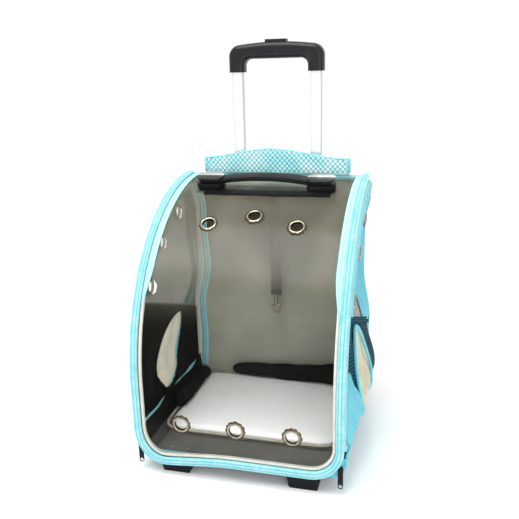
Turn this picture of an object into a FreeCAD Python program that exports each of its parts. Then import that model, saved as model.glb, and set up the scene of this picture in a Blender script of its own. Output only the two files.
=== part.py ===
import FreeCAD, Part
import math
import os
import Sketcher
from FreeCAD import Placement, Rotation, Vector

doc = FreeCAD.newDocument("pet_carrier")
sheet = doc.addObject("Spreadsheet::Sheet", "sizes")
aliases = []
nodes = {}
AXIS_X = Vector(1, 0, 0)
AXIS_Y = Vector(0, 1, 0)
AXIS_Z = Vector(0, 0, 1)
SIDES = (("left", -1), ("right", 1))


class Size:
    """A length that carries its number and the sheet expression behind it."""

    def __init__(self, value, text):
        self.value = float(value)
        self.text = text

    def __float__(self):
        return self.value

    def __add__(self, other):
        other = as_size(other)
        return Size(self.value + other.value, f"({self.text} + {other.text})")

    def __sub__(self, other):
        other = as_size(other)
        return Size(self.value - other.value, f"({self.text} - {other.text})")

    def __mul__(self, other):
        other = as_size(other)
        return Size(self.value * other.value, f"({self.text} * {other.text})")

    def __truediv__(self, other):
        other = as_size(other)
        return Size(self.value / other.value, f"({self.text} / {other.text})")

    def __radd__(self, other):
        return as_size(other) + self

    def __rsub__(self, other):
        return as_size(other) - self

    def __rmul__(self, other):
        return as_size(other) * self

    def __neg__(self):
        return self * -1


def as_size(number):
    return number if isinstance(number, Size) else Size(number, f"({float(number)})")


def root(size):
    return Size(math.sqrt(size.value), f"sqrt({size.text})")


def cosine(angle):
    return Size(math.cos(math.radians(angle.value)), f"cos({angle.text} * 1 deg)")


def sine(angle):
    return Size(math.sin(math.radians(angle.value)), f"sin({angle.text} * 1 deg)")


def size(alias, value):
    """Write one driving dimension to the sheet and return it."""
    aliases.append(alias)
    row = len(aliases)
    sheet.set(f"A{row}", alias)
    sheet.set(f"B{row}", str(value))
    sheet.setAlias(f"B{row}", alias)
    return Size(value, f"sizes.{alias}")


# Bag body
bag_width = size("bag_width", 340)
bag_depth = size("bag_depth", 300)
front_upright = size("front_upright", 121.3)
ground_clearance = size("ground_clearance", 26)
corner_radius = size("corner_radius", 32)
flank_rise = size("flank_rise", 4)
shell_wall = size("shell_wall", 3)
seam_gap = size("seam_gap", 0.3)
piping_radius = size("piping_radius", 4.5)
piping_spread = size("piping_spread", 10)
zip_radius = size("zip_radius", 2.2)
board_thickness = size("board_thickness", 5)
base_board_thickness = size("base_board_thickness", 5)
board_top_radius = size("board_top_radius", 10)
waist_rise = size("waist_rise", 160)
waist_length = size("waist_length", 220)
waist_radius = size("waist_radius", 330)

# Clear hood
hood_sheet = size("hood_sheet", 1)
hood_corner_radius = size("hood_corner_radius", 44)
grommet_bore = size("grommet_bore", 9.5)
grommet_barrel = size("grommet_barrel", 0.8)
grommet_rim = size("grommet_rim", 16)
grommet_rim_thickness = size("grommet_rim_thickness", 1.6)
upper_grommet_angle = size("upper_grommet_angle", 55)
middle_grommet_angle = size("middle_grommet_angle", 59)
upper_grommet_spread = size("upper_grommet_spread", 72)
lower_grommet_height = size("lower_grommet_height", 64)
lower_grommet_spread = size("lower_grommet_spread", 88)

# Side doors
door_thickness = size("door_thickness", 3)
door_corner_radius = size("door_corner_radius", 25)
hinge_setback = size("hinge_setback", 1.5)
door_seam_front = size("door_seam_front", 240)
door_seam_angle = size("door_seam_angle", 20.36)
door_seam_half = size("door_seam_half", 5.5)
leaf_setback = size("leaf_setback", 132)
leaf_base = size("leaf_base", 57)
leaf_half_height = size("leaf_half_height", 66)
leaf_half_width = size("leaf_half_width", 38)
leaf_trim_width = size("leaf_trim_width", 7)
leaf_sheet = size("leaf_sheet", 1.2)
door_grommet_inset = size("door_grommet_inset", 50.7)
door_grommet_low = size("door_grommet_low", 34)
door_grommet_mid = size("door_grommet_mid", 54)
door_grommet_high = size("door_grommet_high", 74)

# Zip sliders and pulls
slider_width = size("slider_width", 5)
slider_height = size("slider_height", 12)
slider_rise = size("slider_rise", 18)
pull_width = size("pull_width", 8)
pull_length = size("pull_length", 40)
pull_thickness = size("pull_thickness", 1.6)
pull_eye_radius = size("pull_eye_radius", 2.2)
bail_head = size("bail_head", 0.8)

# Carry handle on the hood
handle_angle = size("handle_angle", 75)
handle_length = size("handle_length", 236)
handle_depth = size("handle_depth", 28)
mount_length = size("mount_length", 46)
mount_height = size("mount_height", 12)
handle_cap = size("handle_cap", 3)
handle_bar = size("handle_bar", 7)
handle_arch = size("handle_arch", 6)
post_radius = size("post_radius", 4)
stud_radius = size("stud_radius", 2)
handle_plate_thickness = size("handle_plate_thickness", 2)
fit_gap = size("fit_gap", 0.08)

# Telescopic trolley
tube_wheel_gap = size("tube_wheel_gap", 42.5)
tube_width = size("tube_width", 18)
tube_depth = size("tube_depth", 12)
tube_wall = size("tube_wall", 1)
tube_gap = size("tube_gap", 0.3)
grip_height = size("grip_height", 612)
grip_leg_width = size("grip_leg_width", 27.5)
grip_leg_length = size("grip_leg_length", 22)
grip_bar = size("grip_bar", 23.5)
grip_crown = size("grip_crown", 4)
grip_depth = size("grip_depth", 28)
grip_corner = size("grip_corner", 20)
grip_inner_corner = size("grip_inner_corner", 12)
grip_round = size("grip_round", 9)
tube_seat = size("tube_seat", 28)
inner_tube_length = size("inner_tube_length", 340)
inner_drop = size("inner_drop", 160)
inner_rise = size("inner_rise", 70)
bracket_height = size("bracket_height", 40)
bracket_screw_rise = size("bracket_screw_rise", 13)
bracket_overhang = size("bracket_overhang", 9)
bracket_lip = size("bracket_lip", 8)
tube_floor = size("tube_floor", 40)
foot_plug = size("foot_plug", 10)
collar_rise = size("collar_rise", 2)

# Release mechanism
button_width = size("button_width", 37)
button_depth = size("button_depth", 15)
button_proud = size("button_proud", 4)
button_travel = size("button_travel", 4)
release_bar_height = size("release_bar_height", 6)
release_bar_depth = size("release_bar_depth", 7)
rod_radius = size("rod_radius", 2.5)
lock_pin_radius = size("lock_pin_radius", 3)
lock_pin_length = size("lock_pin_length", 10)
lock_block_height = size("lock_block_height", 40)
lock_pin_height = size("lock_pin_height", 14)

# Rear wheels
wheel_radius = size("wheel_radius", 27)
wheel_width = size("wheel_width", 20)
wheel_setback = size("wheel_setback", 28.5)
wheel_inset = size("wheel_inset", 58)
tyre_thickness = size("tyre_thickness", 7)
tyre_round = size("tyre_round", 4)
axle_radius = size("axle_radius", 3)
axle_head_radius = size("axle_head_radius", 5.5)
axle_head = size("axle_head", 2)
cheek_thickness = size("cheek_thickness", 6)
wheel_side_gap = size("wheel_side_gap", 1)
wheel_arch_gap = size("wheel_arch_gap", 2.5)
housing_height = size("housing_height", 84)

# Front feet and screws
foot_width = size("foot_width", 54)
foot_depth = size("foot_depth", 34)
foot_inset = size("foot_inset", 67)
foot_taper = size("foot_taper", 4)
foot_round = size("foot_round", 4)
foot_setback = size("foot_setback", 10)
screw_radius = size("screw_radius", 2)
screw_head_radius = size("screw_head_radius", 4)
screw_head = size("screw_head", 2.4)
grip_screw_head = size("grip_screw_head", 2.8)
grip_screw_rise = size("grip_screw_rise", 10.5)
grip_screw_tip = size("grip_screw_tip", 1)
foot_screw_spread = size("foot_screw_spread", 14)
foot_screw_sink = size("foot_screw_sink", 2)

# Cabin fittings
mat_side_gap = size("mat_side_gap", 20)
mat_rear_gap = size("mat_rear_gap", 7)
mat_thickness = size("mat_thickness", 10)
mat_crown = size("mat_crown", 4)
mat_draw_in = size("mat_draw_in", 4)
mat_setback = size("mat_setback", 64)
strap_width = size("strap_width", 20)
strap_thickness = size("strap_thickness", 1.8)
strap_length = size("strap_length", 186)
anchor_reach = size("anchor_reach", 19)
anchor_height = size("anchor_height", 12)
anchor_drop = size("anchor_drop", 24)
hook_radius = size("hook_radius", 10)
hook_mouth = size("hook_mouth", 8.3)
hook_wire = size("hook_wire", 3.6)
hook_shank = size("hook_shank", 16)
rear_roll_length = size("rear_roll_length", 205)
rear_roll_thick = size("rear_roll_thick", 17)
rear_roll_thin = size("rear_roll_thin", 8)
side_roll_length = size("side_roll_length", 140)
side_roll_radius = size("side_roll_radius", 11)

# Back padding, flap and shoulder straps
pad_inset = size("pad_inset", 34)
pad_edge = size("pad_edge", 7)
pad_crown = size("pad_crown", 6)
pad_bottom = size("pad_bottom", 92)
pad_bracket_gap = size("pad_bracket_gap", 4)
channel_half_width = size("channel_half_width", 98)
flap_width = size("flap_width", 264)
flap_thickness = size("flap_thickness", 8)
flap_height = size("flap_height", 32)
flap_crown = size("flap_crown", 12)
shoulder_width = size("shoulder_width", 56)
shoulder_thickness = size("shoulder_thickness", 7)
shoulder_crown = size("shoulder_crown", 3)
shoulder_draw_in = size("shoulder_draw_in", 3)
shoulder_bow = size("shoulder_bow", 8)
shoulder_spread = size("shoulder_spread", 62)
shoulder_drop = size("shoulder_drop", 8)
shoulder_bottom = size("shoulder_bottom", 190)
buckle_height = size("buckle_height", 26)
buckle_width = size("buckle_width", 34)
buckle_depth = size("buckle_depth", 6)
webbing_width = size("webbing_width", 25)
webbing_thickness = size("webbing_thickness", 1.8)
doc.recompute()

# Places that follow from the driving sizes
half_width = bag_width / 2
wheel_spread = half_width - wheel_inset
tube_spread = wheel_spread - tube_wheel_gap
foot_spread = half_width - foot_inset
pad_half_width = half_width - pad_inset
bag_bottom = ground_clearance
front = -(bag_depth + wheel_setback + wheel_radius) / 2
back = front + bag_depth
flank_top = bag_bottom + corner_radius + flank_rise
piping = 2 * piping_radius
hood_radius = bag_depth - piping - seam_gap
hood_centre_y = front + hood_radius
hood_centre_z = bag_bottom + front_upright
bag_top = hood_centre_z + hood_radius
hood_piping_x = half_width - piping_radius - piping_spread
sheet_outer = piping_radius - hood_sheet / 2
sheet_inner = sheet_outer + hood_sheet
hood_half_width = hood_piping_x - piping_radius - seam_gap
board_front = back - board_thickness
mat_width = 2 * (half_width - mat_side_gap)
mat_depth = board_front - mat_rear_gap - front - mat_setback
door_x = half_width - piping_radius
door_inset = piping_radius + piping_spread
hinge_y = back - piping_radius - hinge_setback
door_rear = hinge_y - piping_radius - seam_gap
door_bottom = flank_top + seam_gap + piping_radius
board_half_width = half_width - piping - seam_gap


def check_out(node, label):
    """Name a finished sub-part."""
    node.Label = label
    nodes[label] = node
    return node


def bind(item, prop, amount):
    item.setExpression(prop, as_size(amount).text)


def place(item, x=0, y=0, z=0, turn=None):
    """Put an object at a sized place, turned by (axis, angle) if asked."""
    item.Placement = Placement(Vector(), Rotation(*turn) if turn else Rotation())
    for axis, amount in (("x", x), ("y", y), ("z", z)):
        bind(item, f".Placement.Base.{axis}", amount)
    return item


def spot(x=0, y=0, z=0):
    return Vector(float(x), float(y), float(z))


def arc_centre(start, end, radius, turn):
    """Centre of the minor arc from start to end, turning left (1) or right (-1)."""
    chord = end - start
    middle = (start + end) * 0.5
    rise = math.sqrt(max(radius ** 2 - (chord.Length / 2) ** 2, 0))
    return middle + Vector(-chord.y, chord.x, 0).normalize() * (rise * turn)


def draw(sketch, points):
    """Close an outline of (u, v) corners; (u, v, radius, turn) leaves its corner on an arc."""
    ends = []
    count = len(points)
    for i, point in enumerate(points):
        start = spot(point[0], point[1])
        following = points[(i + 1) % count]
        end = spot(following[0], following[1])
        if len(point) == 2:
            sketch.addGeometry(Part.LineSegment(start, end), False)
            ends.append((1, 2))
            continue
        centre = arc_centre(start, end, float(point[2]), point[3])
        angles = [math.atan2(p.y - centre.y, p.x - centre.x) for p in (start, end)]
        first, last = angles if point[3] > 0 else angles[::-1]
        circle = Part.Circle(centre, AXIS_Z, float(point[2]))
        sketch.addGeometry(Part.ArcOfCircle(circle, first, last), False)
        ends.append((1, 2) if point[3] > 0 else (2, 1))
    base = sketch.GeometryCount - count
    for i, point in enumerate(points):
        after = (i + 1) % count
        joint = Sketcher.Constraint("Coincident", base + i, ends[i][1], base + after, ends[after][0])
        sketch.addConstraint(joint)
    for i, point in enumerate(points):
        for kind, amount in (("DistanceX", point[0]), ("DistanceY", point[1])):
            amount = as_size(amount)
            rule = Sketcher.Constraint(kind, -1, 1, base + i, ends[i][0], amount.value)
            number = sketch.addConstraint(rule)
            sketch.setExpression(f"Constraints[{number}]", amount.text)
        if len(point) == 4:
            number = sketch.addConstraint(Sketcher.Constraint("Radius", base + i, float(point[2])))
            sketch.setExpression(f"Constraints[{number}]", as_size(point[2]).text)


def new_sketch(body, plane, outlines):
    sketch = body.newObject("Sketcher::SketchObject", "outline")
    support = [f for f in body.Origin.OriginFeatures if f.Role == plane][0]
    sketch.AttachmentSupport = [(support, "")]
    sketch.MapMode = "FlatFace"
    for points in outlines:
        draw(sketch, points)
    return sketch


def slab(name, plane, outlines, length, x=0, y=0, z=0, middle=False, turn=None):
    """A body padded from closed outlines: the first is the edge, the others are holes."""
    body = doc.addObject("PartDesign::Body", name)
    sketch = new_sketch(body, plane, outlines)
    pad = body.newObject("PartDesign::Pad", "pad")
    pad.Profile = sketch
    pad.Midplane = middle
    pad.Reversed = plane == "XZ_Plane"
    bind(pad, "Length", length)
    return place(body, x, y, z, turn)


def eased(body, radius, picked):
    """Round the edges of a padded body whose boxes pass a test."""
    doc.recompute()
    pad = body.Tip
    edges = [f"Edge{i}" for i, edge in enumerate(pad.Shape.Edges, 1) if picked(edge.BoundBox)]
    fillet = body.newObject("PartDesign::Fillet", "eased")
    fillet.Base = (pad, edges)
    bind(fillet, "Radius", radius)
    return body


def spun(name, points):
    """A body turned about the Z axis from an (r, z) outline."""
    body = doc.addObject("PartDesign::Body", name)
    sketch = new_sketch(body, "XZ_Plane", [points])
    turned = body.newObject("PartDesign::Revolution", "turned")
    turned.Profile = sketch
    turned.ReferenceAxis = (sketch, ["V_Axis"])
    turned.Angle = 360
    return body


def block(name, length, width, height, x=0, y=0, z=0):
    """A box centred on x and y, standing on z."""
    box = doc.addObject("Part::Box", name)
    for prop, amount in (("Length", length), ("Width", width), ("Height", height)):
        bind(box, prop, amount)
    return place(box, x - as_size(length) / 2, y - as_size(width) / 2, z)


def rod(name, radius, length, x=0, y=0, z=0, turn=None):
    """A cylinder from its foot at a sized place, along Z unless turned."""
    bar = doc.addObject("Part::Cylinder", name)
    bind(bar, "Radius", radius)
    bind(bar, "Height", length)
    return place(bar, x, y, z, turn)


def fuse(name, *pieces):
    joined = doc.addObject("Part::MultiFuse", name)
    joined.Shapes = list(pieces)
    return joined


def group(name, *pieces):
    """Separate solids that share one node."""
    together = doc.addObject("Part::Compound", name)
    together.Links = list(pieces)
    return together


def cut(name, base, *tools):
    taken = doc.addObject("Part::Cut", name)
    taken.Base = base
    taken.Tool = tools[0] if len(tools) == 1 else fuse(name + "_tools", *tools)
    return taken


def feature(name, shape):
    made = doc.addObject("Part::Feature", name)
    made.Shape = shape
    made.Placement = Placement()
    return made


def pipe(edges, radius):
    """A round tube along tangent edges."""
    path = Part.Wire(edges)
    start = path.OrderedEdges[0]
    first = start.FirstParameter
    ring = Part.makeCircle(float(radius), start.valueAt(first), start.tangentAt(first))
    return path.makePipeShell([Part.Wire([ring])], True, False)


def line(a, b):
    return Part.LineSegment(a, b).toShape()


def bend(centre, radius, start, end):
    """Quarter turn about a centre from one unit direction to another."""
    middle = (start + end).normalize()
    reach = float(radius)
    return Part.Arc(centre + start * reach, centre + middle * reach, centre + end * reach).toShape()


TURN_TO_X = (AXIS_Y, 90)
TURN_TO_Y = (AXIS_X, -90)
TURN_UPRIGHT = (Vector(0, 1, 1), 180)


def bottom_shell():
    """Fabric tray: flat floor with rounded lower edges, open at both ends."""
    inner = half_width - shell_wall
    flat = half_width - corner_radius
    bend_z = bag_bottom + corner_radius
    bend_in = corner_radius - shell_wall
    outline = [
        (-half_width, flank_top),
        (-half_width, bend_z, corner_radius, 1),
        (-flat, bag_bottom),
        (flat, bag_bottom, corner_radius, 1),
        (half_width, bend_z),
        (half_width, flank_top),
        (inner, flank_top),
        (inner, bend_z, bend_in, -1),
        (flat, bag_bottom + shell_wall),
        (-flat, bag_bottom + shell_wall, bend_in, -1),
        (-inner, bend_z),
        (-inner, flank_top),
    ]
    start = front + piping + seam_gap
    shell = slab("shell_form", "XZ_Plane", [outline], board_front - start, y=start)
    check_out(cut("base_shell", shell, *foot_screw_holes("shell_hole")), "base_shell")


foot_y = front + foot_setback + foot_depth / 2
board_z = bag_bottom + shell_wall + seam_gap
board_upper = board_z + base_board_thickness
foot_top = bag_bottom - seam_gap
FOOT_SCREWS = [(foot_spread * side + foot_screw_spread * end) for _, side in SIDES for end in (-1, 1)]


def foot_screw_holes(name):
    return [rod(name, screw_radius + fit_gap, board_upper + screw_head, x, foot_y, -screw_head / 2)
            for x in FOOT_SCREWS]


def base_board():
    flat = half_width - corner_radius
    start = front + piping + 2 * seam_gap
    length = board_front - seam_gap - start
    plate = block("board_form", 2 * flat, length, base_board_thickness, 0, start + length / 2, board_z)
    check_out(cut("base_board", plate, *foot_screw_holes("board_hole")), "base_board")


def front_feet():
    wide = foot_width / 2
    low = wide - foot_taper
    feet = []
    for name, side in SIDES:
        outline = [(-wide, foot_top), (-low, foot_round, foot_round, 1), (-low + foot_round, 0),
                   (low - foot_round, 0, foot_round, 1), (low, foot_round), (wide, foot_top)]
        form = slab(name + "_foot_form", "XZ_Plane", [outline], foot_depth,
                    foot_spread * side, foot_y - foot_depth / 2)
        feet.append(form)
    recesses = [rod("foot_recess", screw_head_radius + seam_gap, screw_head + foot_screw_sink, x, foot_y, 0)
                for x in FOOT_SCREWS]
    check_out(cut("front_feet", group("feet_pair", *feet), *foot_screw_holes("foot_hole"), *recesses),
              "front_feet")


def screws():
    """Feet screws driven from below and bracket screws driven from behind."""
    made = []
    for x in FOOT_SCREWS:
        head = rod("screw_head", screw_head_radius, screw_head, x, foot_y, foot_screw_sink)
        shank = rod("screw_shank", screw_radius, board_upper - foot_screw_sink - seam_gap, x, foot_y,
                    foot_screw_sink)
        made.append(fuse("foot_screw", head, shank))
    for x, z in BRACKET_SCREWS:
        head = rod("screw_head", screw_head_radius, screw_head, x, bracket_back + seam_gap, z, TURN_TO_Y)
        reach = bracket_back + seam_gap + screw_head / 2 - board_front
        shank = rod("screw_shank", screw_radius, reach, x, board_front, z, TURN_TO_Y)
        made.append(fuse("bracket_screw", head, shank))
    check_out(group("frame_screws", *made), "frame_screws")


# Tube sections, from the inside out
stage = 2 * (tube_wall + tube_gap)
middle_width = tube_width + stage
middle_depth = tube_depth + stage
outer_width = middle_width + stage
outer_depth = middle_depth + stage
tube_y = back + seam_gap + outer_depth / 2
bracket_depth = outer_depth + 2 * seam_gap + shell_wall
bracket_y = back + seam_gap + bracket_depth / 2
bracket_back = back + seam_gap + bracket_depth
bracket_half = tube_spread + outer_width / 2 + bracket_overhang
top_bracket_z = bag_top + bracket_lip - bracket_height
outer_top = top_bracket_z + bracket_height - bracket_lip
lower_bracket_z = tube_floor - foot_plug
middle_floor = tube_floor + foot_plug / 2
middle_top = top_bracket_z + bracket_height + collar_rise
grip_bar_z = grip_height + grip_leg_length
grip_top = grip_bar_z + grip_bar
tube_top = grip_height + tube_seat
inner_floor = tube_top - inner_tube_length
pin_z = inner_floor + lock_pin_height
BRACKET_SCREWS = [(tube_spread / 2 * side, z + bracket_screw_rise)
                  for _, side in SIDES for z in (top_bracket_z, lower_bracket_z)]


def bracket_screw_holes(name):
    reach = bracket_back - board_front + 2 * shell_wall
    return [rod(name, screw_radius + fit_gap, reach, x, board_front - shell_wall, z, TURN_TO_Y)
            for x, z in BRACKET_SCREWS]


def back_board():
    """Stiff panel that carries the trolley, with rounded corners and drawn-in sides."""
    wide = board_half_width
    top = bag_top - piping - seam_gap
    low = bag_bottom
    waist = low + waist_rise
    outline = [
        (-wide, low + corner_radius, corner_radius, 1),
        (-wide + corner_radius, low),
        (wide - corner_radius, low, corner_radius, 1),
        (wide, low + corner_radius),
        (wide, waist, waist_radius, -1),
        (wide, waist + waist_length),
        (wide, top - board_top_radius, board_top_radius, 1),
        (wide - board_top_radius, top),
        (-wide + board_top_radius, top, board_top_radius, 1),
        (-wide, top - board_top_radius),
        (-wide, waist + waist_length, waist_radius, -1),
        (-wide, waist),
    ]
    board = slab("back_form", "XZ_Plane", [outline], board_thickness, y=board_front)
    check_out(cut("back_board", board, *bracket_screw_holes("back_hole")), "back_board")


def tubes(label, width, depth, low, high, windows=(), bores=()):
    """A pair of thin rectangular tubes, with holes in their outer walls or from front to back if given."""
    pair = []
    for name, side in SIDES:
        x = tube_spread * side
        wall = block(name + "_wall", width, depth, high - low, x, tube_y, low)
        hollow = block(name + "_hollow", width - 2 * tube_wall, depth - 2 * tube_wall,
                       high - low + 2 * tube_wall, x, tube_y, low - tube_wall)
        holes = [rod(name + "_window", lock_pin_radius + 2 * fit_gap, width / 2 + tube_wall, x, tube_y, z,
                     (AXIS_Y, 90 * side)) for z in windows]
        holes += [rod(name + "_bore", screw_radius + fit_gap, depth + 2 * tube_wall, x,
                      tube_y - depth / 2 - tube_wall, z, TURN_TO_Y) for z in bores]
        pair.append(cut(name + "_tube", wall, hollow, *holes))
    check_out(group(label, *pair), label)


def brackets():
    """Upper collar and lower socket that hold the outer tubes to the back board."""
    for label, low in (("top_bracket", top_bracket_z), ("bottom_bracket", lower_bracket_z)):
        body = block(label + "_form", 2 * bracket_half, bracket_depth, bracket_height, 0, bracket_y, low)
        tools = bracket_screw_holes(label + "_hole")
        for _, side in SIDES:
            x = tube_spread * side
            seat = low if label == "top_bracket" else tube_floor - seam_gap
            length = bracket_height - (bracket_lip if label == "top_bracket" else 0) + seam_gap
            tools.append(block("tube_seat", outer_width + 2 * fit_gap, outer_depth + 2 * fit_gap,
                               length, x, tube_y, seat))
            if label == "top_bracket":
                tools.append(block("collar", middle_width + 2 * tube_gap, middle_depth + 2 * tube_gap,
                                   2 * bracket_height, x, tube_y, low))
        check_out(cut(label, body, *tools), label)


def grip_rod(name, radius, length, side, way, sink=0):
    """A round piece square to the front (-1) or rear (1) face of a grip leg, sunk below it."""
    reach = grip_depth / 2 - sink
    start = tube_y - reach if way < 0 else tube_y + reach - length
    return rod(name, radius, length, tube_spread * side, start, grip_screw_z, TURN_TO_Y)


def trolley_grip():
    """Two rounded grip shells, screwed to the inner tubes, that close on the release bar."""
    outer = tube_spread + grip_leg_width / 2
    inner = tube_spread - grip_leg_width / 2
    shoulder = outer - grip_corner
    crown_radius = (shoulder * shoulder + grip_crown * grip_crown) / (2 * grip_crown)
    outline = [
        (-outer, grip_height),
        (-inner, grip_height),
        (-inner, grip_bar_z - grip_inner_corner, grip_inner_corner, -1),
        (-inner + grip_inner_corner, grip_bar_z),
        (inner - grip_inner_corner, grip_bar_z, grip_inner_corner, -1),
        (inner, grip_bar_z - grip_inner_corner),
        (inner, grip_height),
        (outer, grip_height),
        (outer, grip_top - grip_corner, grip_corner, 1),
        (shoulder, grip_top, crown_radius, 1),
        (0, grip_top + grip_crown, crown_radius, 1),
        (-shoulder, grip_top, grip_corner, 1),
        (-outer, grip_top - grip_corner),
    ]
    for label, start, way in (("grip_front", grip_face, -1), ("grip_rear", tube_y, 1)):
        shell = slab(label + "_form", "XZ_Plane", [outline], grip_depth / 2, y=start)
        face = 0 if way < 0 else float(grip_depth / 2)
        eased(shell, grip_round, lambda box: abs(box.YMin - face) + abs(box.YMax - face) < float(seam_gap)
              and box.ZMax > float(grip_height + seam_gap))
        tools = [
            block("release_channel", 2 * (tube_spread + rod_radius + seam_gap),
                  release_bar_depth + 2 * seam_gap, release_bar_height + button_travel + 2 * seam_gap,
                  0, tube_y, release_bar_z - button_travel - seam_gap),
            block("button_slot", button_width + 2 * seam_gap, button_depth + 2 * seam_gap,
                  grip_top + grip_crown - button_floor, 0, tube_y, button_floor),
        ]
        for _, side in SIDES:
            x = tube_spread * side
            tools.append(block("tube_socket", tube_width + 2 * fit_gap, tube_depth + 2 * fit_gap,
                               tube_seat + 2 * seam_gap, x, tube_y, grip_height - seam_gap))
            tools.append(rod("rod_way", rod_radius + seam_gap, release_bar_z - tube_top, x, tube_y, tube_top))
            tools.append(grip_rod("screw_way", screw_radius + fit_gap, grip_depth / 2, side, way))
            tools.append(grip_rod("head_way", grip_screw_head + fit_gap, screw_head / 2 + 2 * seam_gap,
                                  side, way))
        check_out(cut(label, shell, *tools), label)
    made = []
    screw_length = (grip_depth - tube_depth) / 2 + tube_wall + grip_screw_tip - seam_gap
    for _, side in SIDES:
        for way in (-1, 1):
            shank = grip_rod("grip_shank", screw_radius, screw_length, side, way, seam_gap)
            head = grip_rod("grip_head", grip_screw_head, screw_head / 2, side, way, seam_gap)
            made.append(fuse("grip_screw", shank, head))
    check_out(group("grip_screws", *made), "grip_screws")


release_bar_z = grip_top - 2 * release_bar_height - seam_gap
button_floor = release_bar_z + release_bar_height - button_travel - seam_gap
grip_screw_z = grip_height + grip_screw_rise
grip_face = tube_y - grip_depth / 2


def release_mechanism():
    """Button with its cross bar, the two push rods, and the sprung lock pins."""
    bar = block("release_bar", 2 * (tube_spread + rod_radius), release_bar_depth, release_bar_height,
                0, tube_y, release_bar_z)
    cap_z = release_bar_z + release_bar_height
    cap = block("button_cap", button_width, button_depth, grip_top + grip_crown + button_proud - cap_z,
                0, tube_y, cap_z)
    check_out(fuse("release_button", bar, cap), "release_button")
    block_top = inner_floor + lock_block_height
    rod_floor = pin_z + lock_pin_radius + button_travel + 2 * seam_gap
    rods, blocks = [], []
    for name, side in SIDES:
        x = tube_spread * side
        rods.append(rod(name + "_rod", rod_radius, release_bar_z - rod_floor, x, tube_y, rod_floor))
        nylon = block(name + "_nylon", tube_width - 2 * tube_wall - 2 * fit_gap,
                      tube_depth - 2 * tube_wall - 2 * fit_gap, lock_block_height, x, tube_y, inner_floor)
        shaft = rod(name + "_shaft", rod_radius + seam_gap, block_top - pin_z, x, tube_y, pin_z)
        pin_way = rod(name + "_pin_way", lock_pin_radius + fit_gap, tube_width, x - tube_width / 2, tube_y,
                      pin_z, TURN_TO_X)
        blocks.append(cut(name + "_block", nylon, shaft, pin_way))
        tip = x + side * (tube_width / 2 + tube_gap / 2)
        start = tip if side < 0 else tip - lock_pin_length
        check_out(rod(name + "_lock_pin", lock_pin_radius, lock_pin_length, start, tube_y, pin_z, TURN_TO_X),
                  name + "_lock_pin")
    check_out(group("release_rods", *rods), "release_rods")
    check_out(group("lock_blocks", *blocks), "lock_blocks")


axle_y = back + wheel_setback
slot_width = wheel_width + 2 * wheel_side_gap
housing_width = slot_width + 2 * cheek_thickness


def wheels():
    """Rear wheels: hub and tyre each, turning on fixed axles between housing cheeks."""
    axles, housings = [], []
    hub_radius = wheel_radius - tyre_thickness
    side_y = axle_y + wheel_radius - wheel_arch_gap * 4
    for name, side in SIDES:
        centre = wheel_spread * side
        face = wheel_width / 2
        start = centre - face
        edge = wheel_radius - tyre_round
        tyre = spun(name + "_tyre", [(hub_radius, 0), (edge, 0, tyre_round, 1), (wheel_radius, tyre_round),
                                     (wheel_radius, wheel_width - tyre_round, tyre_round, 1),
                                     (edge, wheel_width), (hub_radius, wheel_width)])
        check_out(place(tyre, start, axle_y, wheel_radius, TURN_TO_X), name + "_tyre")
        dish = cheek_thickness / 2
        bore = axle_radius + fit_gap
        nave = axle_head_radius + tyre_round / 2
        rim = hub_radius - tyre_round / 2
        hub = spun(name + "_hub", [(bore, 0), (nave, 0), (nave, dish), (rim, dish), (rim, 0), (hub_radius, 0),
                                   (hub_radius, wheel_width), (rim, wheel_width), (rim, wheel_width - dish),
                                   (nave, wheel_width - dish), (nave, wheel_width), (bore, wheel_width)])
        check_out(place(hub, start, axle_y, wheel_radius, TURN_TO_X), name + "_hub")
        shaft = rod(name + "_axle_shaft", axle_radius, housing_width + 2 * seam_gap,
                    centre - housing_width / 2 - seam_gap, axle_y, wheel_radius, TURN_TO_X)
        heads = [rod(name + "_axle_head", axle_head_radius, axle_head, centre + offset, axle_y, wheel_radius,
                     TURN_TO_X)
                 for offset in (housing_width / 2 + seam_gap, -(housing_width / 2 + seam_gap + axle_head))]
        axles.append(fuse(name + "_axle", shaft, *heads))
        root_y = back + seam_gap
        sweep = side_y - root_y - cheek_thickness
        outline = [(root_y, ground_clearance / 2), (side_y - wheel_arch_gap, ground_clearance / 2),
                   (side_y, ground_clearance), (side_y, housing_height - sweep, sweep, 1),
                   (side_y - sweep, housing_height), (root_y, housing_height)]
        cheek = slab(name + "_housing_form", "YZ_Plane", [outline], housing_width, centre, middle=True)
        arch = rod(name + "_arch", wheel_radius + wheel_arch_gap, slot_width, centre - slot_width / 2, axle_y,
                   wheel_radius, TURN_TO_X)
        mouth = block(name + "_mouth", slot_width, 2 * wheel_radius, 2 * wheel_radius,
                      centre, axle_y + wheel_radius, 0)
        axle_way = rod(name + "_axle_way", axle_radius + fit_gap, housing_width + axle_head,
                       centre - housing_width / 2 - axle_head / 2, axle_y, wheel_radius, TURN_TO_X)
        housings.append(cut(name + "_housing", cheek, arch, mouth, axle_way))
    check_out(group("wheel_axles", *axles), "wheel_axles")
    check_out(group("wheel_housings", *housings), "wheel_housings")


def hood_point(angle, depth):
    """Place on the curved hood at an angle above level, sunk by depth from the outline."""
    reach = hood_radius - depth
    return hood_centre_y - reach * cosine(angle), hood_centre_z + reach * sine(angle)


# Hood eyelets: (x, angle above level), or (x, None) on the flat front
UPPER_GROMMETS = [(-upper_grommet_spread, upper_grommet_angle), (as_size(0), middle_grommet_angle),
                  (upper_grommet_spread, upper_grommet_angle)]
LOWER_GROMMETS = [-lower_grommet_spread, as_size(0), lower_grommet_spread]
stud_x = handle_length / 2 - mount_length / 4
inner_stud_x = handle_length / 2 - mount_length * 3 / 4
STUDS = [x * side for _, side in SIDES for x in (stud_x, inner_stud_x)]
hood_tilt = 90 - handle_angle.value


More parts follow.
